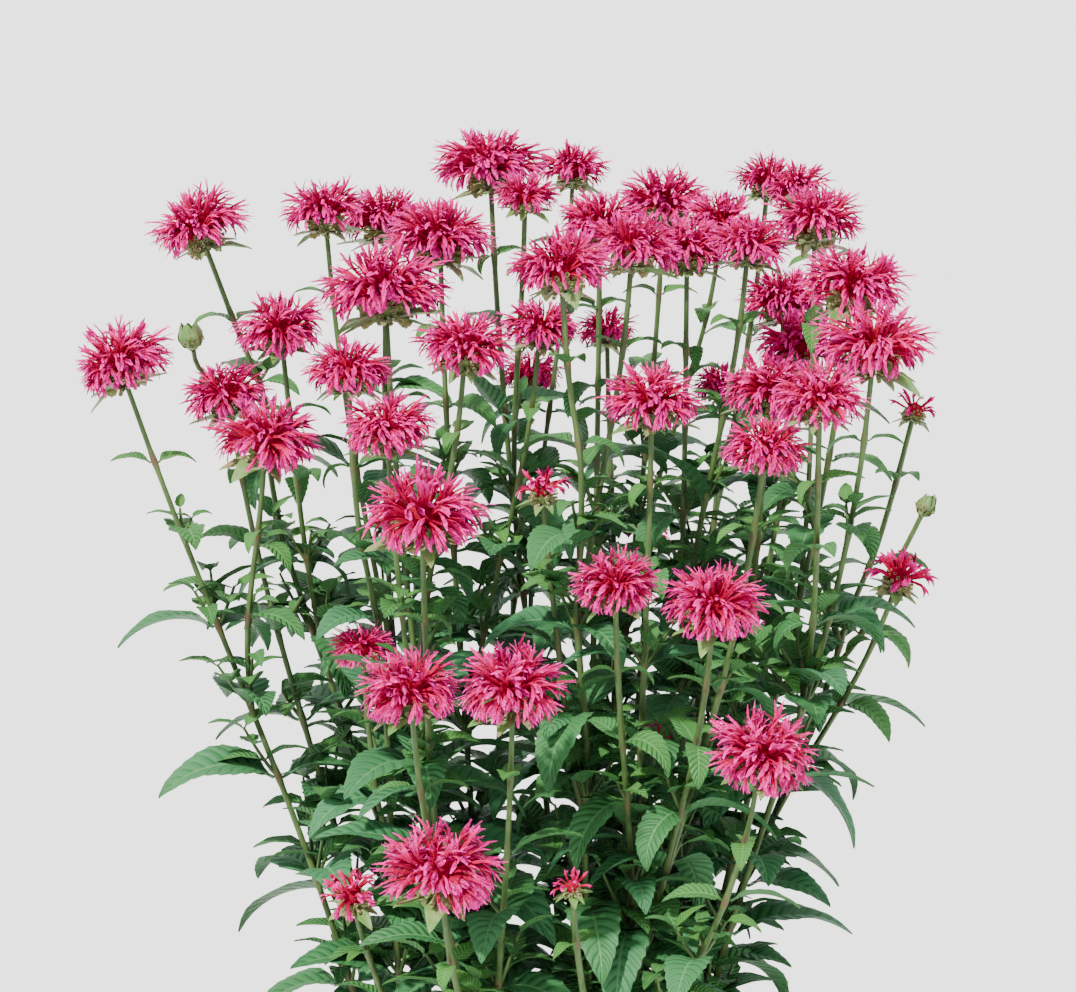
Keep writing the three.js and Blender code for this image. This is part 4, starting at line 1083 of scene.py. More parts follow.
def petal_finish():
    finish = Finish("petal_pink", Roughness=0.6, Specular_IOR_Level=0.05)
    along, tone = finish.value("along"), finish.value("tone")
    salmon = finish.times(finish.span(tone, 0.76, 1.0), finish.math("ADD", finish.value("fresh"), 0.3))
    mixed = finish.blend(salmon, finish.ramp(along, PETAL_FRESH), finish.ramp(along, PETAL_OLD))
    streaks = finish.noise(900.0, 2.0, 0.6)
    # Dark streaks: partly veins, partly painted shade in the grooves that the same noise bumps.
    veined_and_groove_shaded = finish.shaded(finish.span(streaks, 0.38, 0.64, 0.0, 0.8), mixed, (0.48, 0.4, 0.5))
    # Pale pink streaks near the lips: painted highlights.
    pale_streaks = finish.span(finish.noise(600.0, 2.0, 0.6), 0.52, 0.64, 0.0, 0.42)
    sunlit = finish.times(pale_streaks, finish.span(along, 0.5, 0.85))
    streaked = finish.blend(sunlit, veined_and_groove_shaded, SUNLIT_PINK)
    darker = finish.shaded(finish.span(tone, 0.45, 0.0, 0.0, 0.75), streaked, (0.62, 0.5, 0.55))
    finish.bump(streaks, 0.25, 0.0004)
    return finish.colour(darker)


PETAL = petal_finish()
print("finish:", PETAL.name, "nodes:", len(PETAL.node_tree.nodes))

# %% [markdown]
# The leaf. Its paler midrib and slanting side veins quilt the surface: between two veins the blade bulges,
# and a painted shade darkens one side of each bulge. The vein pattern follows the leaf, so it is worked out
# from the values along and across it. The underside is lighter, and a leaf is a yellower green while it is
# young.

# %% Leaf finish
LEAF_DEEP = ((0.019, 0.095, 0.030), (0.031, 0.137, 0.046))
LEAF_TONE, LEAF_YOUNG = (0.043, 0.170, 0.076), (0.075, 0.225, 0.030)
LEAF_VEIN, LEAF_BENEATH = (0.14, 0.32, 0.11), (0.053, 0.160, 0.057)
VEINS, VEIN_SLANT = 11.0, -1.7


def leaf_finish():
    finish = Finish("leaf_green", Specular_IOR_Level=0.2)
    side = finish.math("ABSOLUTE", finish.value("across"))
    along = finish.value("along")
    slanting = finish.math("FRACT", finish.math("MULTIPLY_ADD", along, VEINS, finish.times(side, VEIN_SLANT)))
    ridge = finish.math("ABSOLUTE", finish.math("SUBTRACT", slanting, 0.5))
    midrib = finish.span(side, 0.03, 0.10, 1.0, 0.0)
    lines = finish.math("MAXIMUM", midrib, finish.times(finish.span(ridge, 0.40, 0.5), 0.55))
    patchy = finish.noise(26.0, 4.0)
    deep = finish.blend(finish.span(patchy, 0.35, 0.7), *LEAF_DEEP)
    tones = finish.blend(finish.span(finish.value("tone"), 0.0, 1.0, 0.0, 0.6), deep, LEAF_TONE)
    young = finish.blend(finish.value("fresh"), tones, LEAF_YOUNG)
    # Painted shade: one side of each bulge between the slanting veins is darkened.
    fold_shade_mask = finish.times(finish.span(slanting, 0.45, 0.85), finish.span(side, 0.03, 0.2, 0.0, 0.24))
    fold_shaded = finish.shaded(fold_shade_mask, young, (0.45, 0.5, 0.5))
    veined = finish.blend(finish.times(lines, 0.36), fold_shaded, LEAF_VEIN)
    beneath = finish.blend(finish.times(finish.value("under"), 0.75), veined, LEAF_BENEATH)
    bulge = finish.times(finish.span(ridge, 0.08, 0.5, 1.0, 0.0), finish.math("SUBTRACT", 1.0, midrib))
    finish.bump(finish.math("MULTIPLY_ADD", finish.noise(700.0, 2.0), 0.12, bulge), 0.7, 0.0012)
    finish.roughness(finish.span(patchy, 0.3, 0.8, 0.48, 0.62))
    return finish.colour(beneath)


LEAF_FINISH = leaf_finish()
print("finish:", LEAF_FINISH.name, "nodes:", len(LEAF_FINISH.node_tree.nodes))

# %% [markdown]
# The other greens. Stems are a light olive, woody at the foot, that turns reddish at the knots, with fine
# streaks along them. Calyces are olive tubes with reddish mouths, and bracts are pale and flush with pink.
# The crown at the soil is brown wood.

# %% Stem, calyx, bract and wood finishes
def stem_finish():
    finish = Finish("stem_green", Specular_IOR_Level=0.35, Roughness=0.55)
    streaks = finish.noise(220.0, 4.0, 0.6, finish.place((1, 1, 0.06)))
    base = finish.blend(finish.span(streaks, 0.3, 0.75), (0.034, 0.074, 0.014), (0.075, 0.13, 0.034))
    woody = finish.blend(finish.span(finish.value("along"), 0.0, 0.35, 0.7, 0.0), base, (0.04, 0.055, 0.014))
    flush = finish.times(finish.value("under"), finish.span(finish.noise(60.0), 0.4, 0.6, 0.1, 0.7))
    finish.bump(streaks, 0.4, 0.0005)
    return finish.colour(finish.blend(flush, woody, (0.11, 0.03, 0.018)))


def calyx_finish():
    finish = Finish("calyx_green", Specular_IOR_Level=0.3, Roughness=0.6, Sheen_Weight=0.2)
    base = finish.ramp(finish.value("along"), [(0.0, (0.17, 0.26, 0.06)), (0.5, (0.26, 0.32, 0.10)),
                                               (0.75, (0.20, 0.15, 0.06)), (1.0, (0.42, 0.36, 0.18))])
    shade = finish.span(finish.value("tone"), 0.0, 1.0, 0.0, 0.6)
    finish.bump(finish.noise(800.0, 2.0, 0.6), 0.4, 0.0004)
    return finish.colour(finish.blend(shade, base, (0.20, 0.27, 0.07)))


def bract_finish():
    """Tones near one are the closed bracts of a bud, which are a deeper green."""
    finish = Finish("bract_green", Specular_IOR_Level=0.35, Roughness=0.5, Sheen_Weight=0.15)
    midrib = finish.span(finish.math("ABSOLUTE", finish.value("across")), 0.04, 0.14, 1.0, 0.0)
    patchy = finish.span(finish.noise(90.0, 3.0), 0.35, 0.7)
    pale = finish.blend(patchy, (0.08, 0.19, 0.030), (0.16, 0.28, 0.08))
    base = finish.blend(finish.span(finish.value("tone"), 0.85, 1.0, 0.0, 0.8), pale, (0.040, 0.130, 0.020))
    flushed = finish.blend(finish.times(finish.value("fresh"), patchy), base, (0.28, 0.12, 0.09))
    finish.bump(midrib, 0.3, 0.0005)
    return finish.colour(finish.blend(finish.times(midrib, 0.5), flushed, (0.2, 0.28, 0.09)))


def wood_finish():
    finish = Finish("crown_wood", Specular_IOR_Level=0.2, Roughness=0.85)
    grain = finish.noise(160.0, 6.0, 0.7, finish.place((1, 1, 0.3)))
    finish.bump(grain, 0.8, 0.002)
    brown = finish.blend(finish.span(grain, 0.3, 0.7), (0.035, 0.023, 0.014), (0.10, 0.07, 0.04))
    return finish.colour(brown)


LEAFY = [stem_finish(), LEAF_FINISH, bract_finish(), calyx_finish(), wood_finish()]
STEM_GREEN, LEAF_GREEN, BRACT_GREEN, CALYX_GREEN, CROWN_WOOD = range(5)
print("finishes of a clump:", [material.name for material in LEAFY])

# %% [markdown]
# The copied shapes. A floret is a narrow tube that opens in two lips, and a calyx is a ribbed tube. Every
# part of them is an arc with closed loops round it. Each shape is drawn once at a length of one, ahead along
# x and up along z, so a copy only needs a place, two directions and a size.

# %% Arcs and the loops round them
def arc_points(start, heading, bend, long, count):
    """Points on an arc in the plane of ahead and up, with the heading at each."""
    share = np.linspace(0, 1, count)
    slope = heading - bend * share
    if abs(bend) < 1e-4:
        run = np.stack([np.cos(slope), np.sin(slope)], axis=1) * share[:, None] * long
    else:
        ahead, above = np.sin(heading) - np.sin(slope), np.cos(slope) - np.cos(heading)
        run = np.stack([ahead, above], axis=1) * long / bend
    return np.asarray(start) + run, slope


def ring_loops(points, slope, wide, thick, around, dish=0.0, first=90):
    """Closed loops round an arc's points, from the first angle in degrees: 90 is the top, 270 is below."""
    turn = np.arange(around) * 2 * math.pi / around + math.radians(first)
    wide, thick = np.asarray(wide)[:, None], np.asarray(thick)[:, None]
    sideways = np.cos(turn)[None] * wide
    upward = np.sin(turn)[None] * thick + dish * wide * np.cos(turn)[None] ** 2
    x = points[:, :1] - np.sin(slope)[:, None] * upward
    z = points[:, 1:] + np.cos(slope)[:, None] * upward
    return np.stack([x, sideways, z], axis=-1)[None]


def shape_shelf(name, shapes, material):
    """A shelf of shapes, drawn at a length of one metre so that a copy's size is in metres. Only the value
    along a shape stays on it, because the copies get their own tones."""
    shelf = bpy.data.collections.new(name)
    for label, shape in shapes.items():
        made = shape.build(label, [material])
        made.data.transform(((1 / MM, 0, 0, 0), (0, 1 / MM, 0, 0), (0, 0, 1 / MM, 0), (0, 0, 0, 1)))
        for key in VALUES[1:]:
            made.data.attributes.remove(made.data.attributes[key])
        bpy.context.scene.collection.objects.unlink(made)
        shelf.objects.link(made)
    return shelf


def triangles(piece):
    return sum(len(face.vertices) - 2 for face in piece.data.polygons)


print("an arc that bends by 1 rad ends at:", arc_points((0, 0), 0.0, 1.0, 1.0, 3)[0][-1].round(3))

# %% [markdown]
# Florets and calyces. A floret's upper lip arches on from the tube as a thin hood, the lower one turns down
# and widens like a spoon, and a style hangs out between them. One shape would look stamped, so there are
# eleven kinds: six slender ones from drooping to straight, two shorter ones for the inner whorl, two stout
# ones for young heads, and a broad flat tongue. Three sides to each part keep the triangles few.

# %% Shapes for the copies
TUBE_LONG, HOOD_LONG, SPOON_LONG, STYLE_LONG = 0.58, 0.5, 0.44, 0.42
TUBE_WIDE, TUBE_THICK = np.array([0.022, 0.032, 0.042]), np.array([0.022, 0.03, 0.03])
HOOD_WIDE, HOOD_THICK = np.array([0.03, 0.042, 0.036, 0.008]), np.array([0.014, 0.016, 0.012, 0.003])
SPOON_WIDE, SPOON_THICK = np.array([0.028, 0.04, 0.055, 0.018]), np.array([0.014, 0.013, 0.01, 0.003])
STYLE_THICK = np.array([0.008, 0.008])
# Each kind gives the tube's bend, the lower lip's turn and spread, the curl of both lips, and the fullness.
FLORET_KINDS = (
    (1.25, 0.3, 1.0, 0.5, 1.0), (1.0, 0.45, 1.15, 0.7, 1.0), (0.7, 0.6, 1.0, 0.9, 1.0),
    (0.45, 0.7, 1.15, 0.5, 1.0), (0.25, 0.6, 0.9, 1.0, 1.0), (0.1, 0.45, 0.75, 0.6, 1.0),
    (0.5, 0.5, 1.5, 1.0, 1.55), (0.2, 0.35, 1.3, 0.8, 1.55),
    (0.7, 0.5, 1.2, 0.9, 2.1), (-0.15, 0.4, 1.2, 1.1, 2.1),
    (-0.1, 0.35, 0.9, 0.7, 1.35),
)
SLENDER, SHORT, STOUT, TONGUE = range(6), (6, 7), (8, 9), 10


def floret_shape(bend, lower_turn, spread, curl, full):
    """A tube, a hood and a spoon with three sides each and, on most, a thin style. Full widens them all."""
    shape = Collector()
    stout = full**0.8

    def add_part(arc, wide, thick, start, end, dish=0.0, first=90):
        along = np.linspace(start, end, len(wide))[None, :, None]
        shape.sweep(ring_loops(*arc, wide, thick, 3, dish, first), 0, along=along)

    tube, slope = arc_points((0, 0), 0.0, bend * TUBE_LONG, TUBE_LONG, 3)
    add_part((tube, slope), full * TUBE_WIDE, stout * TUBE_THICK, 0, TUBE_LONG)
    hood = arc_points(tube[2] + [-0.06, 0.016], slope[2] + 0.1, curl + 0.35 * bend, HOOD_LONG, 4)
    add_part(hood, full * HOOD_WIDE, stout * HOOD_THICK, 0.45, 0.98, dish=-0.4)
    spoon = arc_points(tube[2] - [0.05, 0.012], slope[2] - lower_turn, curl + 0.1, SPOON_LONG, 4)
    spread_wide = full * (SPOON_WIDE * [1, spread, spread, 1])
    add_part(spoon, spread_wide, stout * SPOON_THICK, 0.5, 1.0, dish=0.3, first=270)
    if spread < 1.05:
        style = arc_points(tube[2], slope[2] + 0.05, 0.3 + 0.2 * bend, STYLE_LONG, 2)
        add_part(style, STYLE_THICK, STYLE_THICK, 0.8, 1.0)
    return shape


def calyx_shape():
    """A ribbed tube that flares at its mouth and turns in again to a shallow hollow."""
    shape = Collector()
    at, along = np.array([0.0, 0.5, 1.0, 0.84]), np.array([0.0, 0.5, 1.0, 0.7])
    reach = np.array([0.05, 0.085, 0.115, 0.05])
    points = np.stack([at, np.zeros(4)], axis=1)
    shape.sweep(ring_loops(points, np.zeros(4), reach, reach, 5), 0, along=along[None, :, None])
    return shape


floret_shapes = {f"floret_{k:02d}": floret_shape(*kind) for k, kind in enumerate(FLORET_KINDS)}
FLORETS = shape_shelf("floret_shapes", floret_shapes, PETAL)
CALYCES = shape_shelf("calyx_shapes", {"calyx_0": calyx_shape()}, LEAFY[CALYX_GREEN])

# %% [markdown]
# Copies on points. Both Geometry Nodes trees of this plant do the same job: they take shapes from a shelf,
# put one on each point with a random tone from a fixed seed, make the copies real beside the base and give
# them a finish. A small helper builds what they share, so each tree only says how its copies stand.

# %% A helper for trees of copies
class CopyTree:
    """A Geometry Nodes tree with named inputs that sets copies and makes them real."""

    def __init__(self, name, **inputs):
        self.tree = bpy.data.node_groups.new(name, "GeometryNodeTree")
        for label, kind in inputs.items():
            self.tree.interface.new_socket(label, in_out="INPUT", socket_type="NodeSocket" + kind)
        self.tree.interface.new_socket("Result", in_out="OUTPUT", socket_type="NodeSocketGeometry")
        self.given = self.node("NodeGroupInput").outputs

    def node(self, kind, inputs=None, **props):
        return new_node(self.tree, kind, props, inputs or {})

    def stored(self, name, kind="FLOAT"):
        """A value that was kept at the points."""
        read = self.node("GeometryNodeInputNamedAttribute", {"Name": name}, data_type=kind)
        return read.outputs["Attribute"]

    def chance(self):
        """A random number between nought and one, from the seed."""
        number = self.node("FunctionNodeRandomValue", {"Seed": self.given["Seed"]}, data_type="FLOAT")
        return number.outputs[1]

    def copies(self, points, inputs):
        """Copies of the shelf's shapes on the points, each with a tone of its own."""
        shelf = self.node("GeometryNodeCollectionInfo", {
            "Collection": self.given["Shapes"], "Separate Children": True, "Reset Children": True})
        copies = self.node("GeometryNodeInstanceOnPoints", {
            "Points": points, "Instance": shelf.outputs[0], "Pick Instance": True, **inputs})
        toned = self.node("GeometryNodeStoreNamedAttribute", {
            "Geometry": copies.outputs[0], "Name": "tone", "Value": self.chance(),
        }, data_type="FLOAT", domain="INSTANCE")
        return toned.outputs[0]

    def finished(self, copies, base, **inputs):
        """Joins the copies to the base, makes them real, sets the finish and hands the tree back."""
        whole = self.node("GeometryNodeJoinGeometry")
        for part in (copies, base):
            self.tree.links.new(part, whole.inputs[0])
        real = self.node("GeometryNodeRealizeInstances", {"Geometry": whole.outputs[0]})
        finish = self.node("GeometryNodeSetMaterial", {
            "Geometry": real.outputs[0], "Material": self.given["Finish"], **inputs})
        self.tree.links.new(finish.outputs[0], self.node("NodeGroupOutput").inputs[0])
        return self.tree


def grow_on(piece, tree, **inputs):
    """Puts a tree on a piece as a modifier, with its inputs set by the sockets' identifiers."""
    modifier = piece.modifiers.new(tree.name, "NODES")
    modifier.node_group = tree
    for item in tree.interface.items_tree:
        if item.item_type == "SOCKET" and item.in_out == "INPUT" and item.name in inputs:
            modifier[item.identifier] = inputs[item.name]


def settle(pieces):
    """Turns what the modifiers make into plain meshes and takes the modifiers off."""
    bpy.context.view_layer.update()
    graph = bpy.context.evaluated_depsgraph_get()
    made = [bpy.data.meshes.new_from_object(piece.evaluated_get(graph), preserve_all_data_layers=True,
                                            depsgraph=graph) for piece in pieces]
    for piece, mesh in zip(pieces, made):
        piece.modifiers.clear()
        old, piece.data = piece.data, mesh
        mesh.name = piece.name
        bpy.data.meshes.remove(old)


print("tree helpers:", [name for name in vars(CopyTree) if not name.startswith("_")])

# %% [markdown]
# The tree for calyces and florets. Where a point is marked as one that copies spring from, the tree puts
# the wanted shape there, turns it with the two directions kept at the point and gives it the point's size.
# The marked points go, and the faces that were already there stay.

# %% The tree for calyces and florets
def springing_tree():
    tree = CopyTree("copies_on_points", Base="Geometry", Shapes="Collection", Finish="Material", Seed="Int")
    springs, base = tree.stored("springs", "BOOLEAN"), tree.given["Base"]
    turned = tree.node("FunctionNodeAxesToRotation", {
        "Primary Axis": tree.stored("ahead", "FLOAT_VECTOR"),
        "Secondary Axis": tree.stored("upward", "FLOAT_VECTOR"),
    }, primary_axis="X", secondary_axis="Z")
    copies = tree.copies(base, {"Selection": springs, "Instance Index": tree.stored("shape", "INT"),
                                "Rotation": turned.outputs[0], "Scale": tree.stored("size")})
    kept = tree.node("GeometryNodeDeleteGeometry", {"Geometry": base, "Selection": springs},
                     domain="POINT", mode="ALL")
    return tree.finished(copies, kept.outputs[0], Selection=springs)


COPIES = springing_tree()
print("tree:", COPIES.name, "nodes:", len(COPIES.nodes))

# %% [markdown]
# The spiral. Real heads set their calyces and florets in a spiral, each turned by the golden angle against
# the last. Here the same spiral runs over a ball between two heights, with a little chance in both. Calyces
# cover the cup under the petals, and a closed bud shows them only near its top.

# %% Places of calyces
GOLDEN = math.pi * (3 - math.sqrt(5))
SINE_LEAST, SINE_MOST = -0.98, 0.998
TURN_CHANCE = 0.25
CALYX = dict(low=-0.66, high=0.45, long=0.41, middle=0.62, start=0.06, wobble=0.04)
CALYX_BUD_LOW, CALYX_SHUT_HIGH, CALYX_BUD_LONGER = 0.35, 0.97, 1.15
CALYX_COUNT = dict(open=56, young=64, bud=44)


def spiral(count, low, high, draw, wobble):
    """Directions on a ball between two heights, as (sine of the height, bearing) pairs."""
    for k in range(count):
        sine = low + (high - low) * (k + 0.5) / count + draw(-wobble, wobble)
        yield held(sine, SINE_LEAST, SINE_MOST), GOLDEN * k + draw(-TURN_CHANCE, TURN_CHANCE)


def direction(axes, up, sine, bearing):
    """Ahead, upward and level directions for a place on the ball."""
    cosine = math.sqrt(1 - sine * sine)
    flat = axes[0] * math.cos(bearing) + axes[1] * math.sin(bearing)
    return flat * cosine + up * sine, up * cosine - flat * sine, flat


def springs_from(rows, **values):
    """What a tree reads at its points, from rows of (place, ahead, upward, length, shape)."""
    place, ahead, upward, long, shape = (np.array(column) for column in zip(*rows))
    return dict(place=place, ahead=ahead, upward=upward, size=long * MM, shape=shape, **values)


def calyx_rows(index):
    bloom, draw = blooms[index], seeded(index + SEEDS["calyces"])
    foot, _, up, axes = head_frame(index)
    radius, closed = bloom["radius"], bloom["kind"] == "bud"
    centre = foot + up * CALYX["middle"] * CUP_HIGH * radius
    low = CALYX_BUD_LOW if closed else CALYX["low"]
    high = CALYX["high"] if bloom["kind"] == "open" else CALYX_SHUT_HIGH
    rows = []
    for sine, bearing in spiral(CALYX_COUNT[bloom["kind"]], low, high, draw, CALYX["wobble"]):
        ahead, upward, _ = direction(axes, up, sine, bearing)
        long = CALYX["long"] * radius * draw(0.9, 1.1) * (CALYX_BUD_LONGER if closed else 1.0)
        rows.append((centre + ahead * CALYX["start"] * radius, ahead, upward, long, 0))
    return rows


print("calyces in all:", sum(CALYX_COUNT[bloom["kind"]] for bloom in blooms))

# %% [markdown]
# Room for a floret. A floret that would reach past the plane between its head and a neighbour's is shortened
# until it keeps to its own side, so heads crowd together without running through each other. It also has to
# stay inside its head's rounded form and inside the box of the solids.

# %% Room for florets
NEAR_HEADS = 30.0
FLORET_START, FLORET_LONG, FLORET_TIP = 0.24, 1.02, 0.97
FORM_SPARE, FORM_ROOM = 1.1, 1.08
FLORET_TRIES, FLORET_SHORTEN = 14, 0.94


def own_side(bloom):
    """Planes between a bloom and its near neighbours, as (direction, distance) pairs."""
    planes = []
    for other in blooms:
        gap = other["middle"] - bloom["middle"]
        apart = np.linalg.norm(gap)
        if other is bloom or apart > bloom["radius"] + other["radius"] + NEAR_HEADS:
            continue
        share = (apart**2 + bloom["radius"] ** 2 - other["radius"] ** 2) / (2 * apart)
        planes.append((gap / apart, share - BLOOM["side"] * 0.5))
    return planes


def has_room(head, tip, further):
    """True where a tip is in its head's rounded form, in the box and on its own side of every plane."""
    away = tip - head["middle"]
    tall = away @ head["up"]
    wide = np.linalg.norm(away - head["up"] * tall)
    limit = BLOOM["high"] if tall > 0 else BLOOM["low"] * FORM_SPARE
    room = head["radius"] ** 2 * FORM_ROOM * further**2
    inside = (wide / FORM_SPARE) ** 2 + (tall / limit) ** 2 < room
    return inside and in_box(tip) and all(away @ way < share for way, share in head["planes"])


def fitted_length(head, start, ahead, upward, sine, bend, reach, further):
    """The length of a floret, shortened step by step until its tip has room."""
    for _ in range(FLORET_TRIES):
        long = reach * head["radius"] * (FLORET_LONG - 0.3 * max(sine, 0) ** 2)
        chord = FLORET_TIP * long * math.sin(bend / 2) / (bend / 2)
        tip = start + (ahead * math.cos(bend / 2) - upward * math.sin(bend / 2)) * chord
        if has_room(head, tip, further):
            break
        reach *= FLORET_SHORTEN
    return long


print("neighbours of the first head:", len(own_side(blooms[0])))

# %% [markdown]
# How a head is filled. A low floret droops and a high one stands nearly straight, and heads high on the
# plant droop less. Chance tilts and twists each one, leaves a thin sector bare as where florets have fallen,
# makes a third of them the shorter ones of the inner whorl and lets a few stand out as spikes, which gives
# a head its tousled edge.

# %% Places of florets
FLORETS_LEAST, FLORETS_EACH_MM = 98, 2.4
YOUNG_LEAST, YOUNG_MORE = 13, 17
FLORET_HIGH, FLORET_WOBBLE = 0.995, 0.09
INNER_SHARE, INNER_REACH = 0.34, 0.64
TONGUE_SHARE, TONGUE_ABOVE = 0.2, 0.35
SPIKE_SHARE, SPIKE_REACH, SPIKE_ABOVE, SPIKE_STRAIGHTER = 0.14, 1.14, 0.3, 0.25
BARE_WIDEST, BARE_SHARE, BARE_BELOW = 0.8, 0.75, 0.5
TILT = 0.42
TWIST, TWIST_TOP, TOP_ABOVE = 0.7, 4.4, 0.72
HIGH_FROM, HIGH_OVER = 690.0, 130.0


def floret_kind(draw, young, sine, droop):
    """Chance picks the kind: its shape, whether it belongs to the inner whorl and whether it is a spike."""
    low = 1.1 - 0.85 * (math.asin(sine) + 0.1) / 1.65
    wanted = droop * low + draw(-0.5, 0.45) - (0.3 if young else 0)
    inner = draw(0, 1) < INNER_SHARE
    spiky = not young and not inner and sine > SPIKE_ABOVE and draw(0, 1) < SPIKE_SHARE
    wanted -= SPIKE_STRAIGHTER * spiky
    if young:
        return STOUT[int(draw(0, 1) < 0.6)], inner, spiky
    if not inner and sine > TONGUE_ABOVE and draw(0, 1) < TONGUE_SHARE:
        return TONGUE, inner, spiky
    kinds = SHORT if inner else SLENDER
    return min(kinds, key=lambda kind: abs(FLORET_KINDS[kind][0] - wanted)), inner, spiky


def floret_points(index):
    bloom, draw = blooms[index], seeded(index + SEEDS["florets"])
    _, seat, up, axes = head_frame(index)
    radius, young = bloom["radius"], bloom["kind"] == "young"
    head = dict(bloom, up=up, planes=own_side(bloom))
    grown = held((radius - 14) / 10, 0, 1)
    count = int(YOUNG_LEAST + YOUNG_MORE * grown) if young else int(FLORETS_LEAST + FLORETS_EACH_MM * radius)
    high_up = held((bloom["middle"][2] - HIGH_FROM) / HIGH_OVER, 0, 1)
    droop, lowest = 0.85 - 0.4 * high_up, 0.3 if young else -0.04 + 0.18 * high_up
    bare, bare_width = draw(0, 2 * math.pi), draw(0.0, BARE_WIDEST)
    uneven, uneven_from = draw(0.02, 0.11), draw(0, 2 * math.pi)
    rows = []
    for sine, bearing in spiral(count, lowest, FLORET_HIGH, draw, FLORET_WOBBLE):
        in_bare = not young and sine < BARE_BELOW and math.cos(bearing - bare) > math.cos(bare_width)
        if in_bare and draw(0, 1) < BARE_SHARE:
            continue
        ahead, upward, flat = direction(axes, up, sine, bearing)
        ahead = unit(ahead + np.cross(up, flat) * draw(-TILT, TILT))
        upward = unit(upward - ahead * (upward @ ahead))
        shape, inner, spiky = floret_kind(draw, young, sine, droop)
        twist = draw(-TWIST, TWIST) * (1.0 if sine < TOP_ABOVE else TWIST_TOP)
        upward = upward * math.cos(twist) + np.cross(ahead, upward) * math.sin(twist)
        further = SPIKE_REACH if spiky else 1.0
        reach = draw(0.84, 1.12) * (0.9 if young else INNER_REACH if inner else 1.03)
        reach *= (1 + uneven * math.sin(3 * bearing + uneven_from)) * further
        start = seat + ahead * FLORET_START * radius
        long = fitted_length(head, start, ahead, upward, sine, FLORET_KINDS[shape][0], reach, further)
        rows.append((start, ahead, upward, long, shape))
    return springs_from(rows, fresh=(index * 0.7548) % 0.5)


print("florets wanted on a 30 mm head:", int(FLORETS_LEAST + FLORETS_EACH_MM * 30))

# %% [markdown]
# The bloom pieces. Each pink head is one piece: a small dome on the cup's seat, which fills the middle where
# florets meet and is coloured dark crimson as painted shade there, and the florets round it. One tree and
# one shelf of shapes serve all heads. The modifiers are settled together, because updating the scene for
# each head would take long.

# %% The bloom pieces
DOME_UP, DOME_WIDE, DOME_HIGH = 0.08, 0.33, 0.29


def bloom_piece(index):
    _, seat, up, axes = head_frame(index)
    radius = blooms[index]["radius"]
    dome = Collector()
    # The dome's low along and tone values give it the darkest crimson: painted shade where the florets meet.
    add_ball(dome, seat + up * DOME_UP * radius, axes, up, DOME_WIDE * radius, DOME_HIGH * radius, 0,
             along=0.1, tone=0.1)
    piece = dome.build(f"bloom_{index + 1:02d}_florets", [PETAL], floret_points(index))
    grow_on(piece, COPIES, Shapes=FLORETS, Finish=PETAL, Seed=index + 1)
    return piece


bloom_pieces = [bloom_piece(i) for i, bloom in enumerate(blooms) if bloom["kind"] != "bud"]
settle(bloom_pieces)
print("bloom pieces:", len(bloom_pieces), "triangles:", sum(triangles(p) for p in bloom_pieces))

# %% [markdown]
# Bracts and crowns. Under every head hang eight bracts: two long ones that look like small leaves and six
# shorter, pinker ones. On a bud they are still closed round it. At the soil each clump has a crown, a low
# woody ball with the stubs of last year's stems.

# %% Bracts and crowns
BRACTS, LONG_ONE_EVERY = 8, 4
BUD_BRACT_CURL = -1.7
STUBS = 7


def bracts_of(index):
    bloom, draw = blooms[index], seeded(index + SEEDS["bracts"])
    foot, _, up, axes = head_frame(index)
    radius, closed = bloom["radius"], bloom["kind"] == "bud"
    first = draw(0, 2 * math.pi)
    made = []
    for k in range(BRACTS):
        turn = first + 2 * math.pi * k / BRACTS + draw(-0.2, 0.2)
        out = axes[0] * math.cos(turn) + axes[1] * math.sin(turn)
        long_one = k % LONG_ONE_EVERY == 0
        open_long = radius * (draw(0.9, 1.12) if long_one else draw(0.66, 0.92))
        bract = dict(out=out, up=up, closed=closed)
        bract.update(root=foot + up * (0.02 * radius + draw(0, 0.8)) + out * 0.8)
        if closed:
            bract.update(long=radius * draw(1.08, 1.34), rise=draw(0.45, 0.7), droop=BUD_BRACT_CURL)
        else:
            bract.update(long=open_long, rise=draw(0.0, 0.4), droop=draw(0.3, 0.85))
        bract.update(roll=draw(-0.3, 0.3), tone=draw(0.9, 1) if closed else draw(0, 0.9))
        bract.update(fresh=draw(0, 0.35) if long_one or closed else draw(0.3, 1.0))
        made.append(bract)
    return made


def add_crown(collector, clump):
    x, y = CLUMPS[clump][1]
    draw = seeded(clump + SEEDS["crowns"])
    centre = np.array([x, y, SOIL_TOP - 6.0])
    axes = (np.array([1.0, 0, 0]), np.array([0, 1.0, 0]))
    add_ball(collector, centre, axes, UP, CROWN_RADIUS * 0.97, CROWN_ABOVE + 5.0, CROWN_WOOD, 9, 18)
    for k in range(STUBS):
        turn = 2 * math.pi * k / STUBS + draw(-0.3, 0.3)
        out = np.array([math.cos(turn), math.sin(turn), 0.0])
        foot = centre + out * draw(8, 15) + UP * 2
        run = foot + np.linspace(0, 1, 5)[:, None] * (out * draw(-2, 3) + UP * draw(8, 17))
        add_rod(collector, run, np.full(5, draw(1.6, 2.6)), turn, CROWN_WOOD)


print("bracts of the first head, mm:", [round(float(bract["long"])) for bract in bracts_of(0)])

# %% [markdown]
# The clump pieces. Each clump is one piece, as its solid is: crown, stems, leaves, side shoots, and under
# every head the bracts and the ball of calyces round a small core. Leaves near a head are the fresher,
# yellower ones.

# %% The clump pieces
CORE_UP, CORE_WIDE, CORE_HIGH = 0.24, 0.25, 0.22
SHOOT_STALK, SHOOT_STALK_TURN = (1.3, 0.75), 0.4
FRESH_FROM, FRESH_OVER = 40.0, 110.0


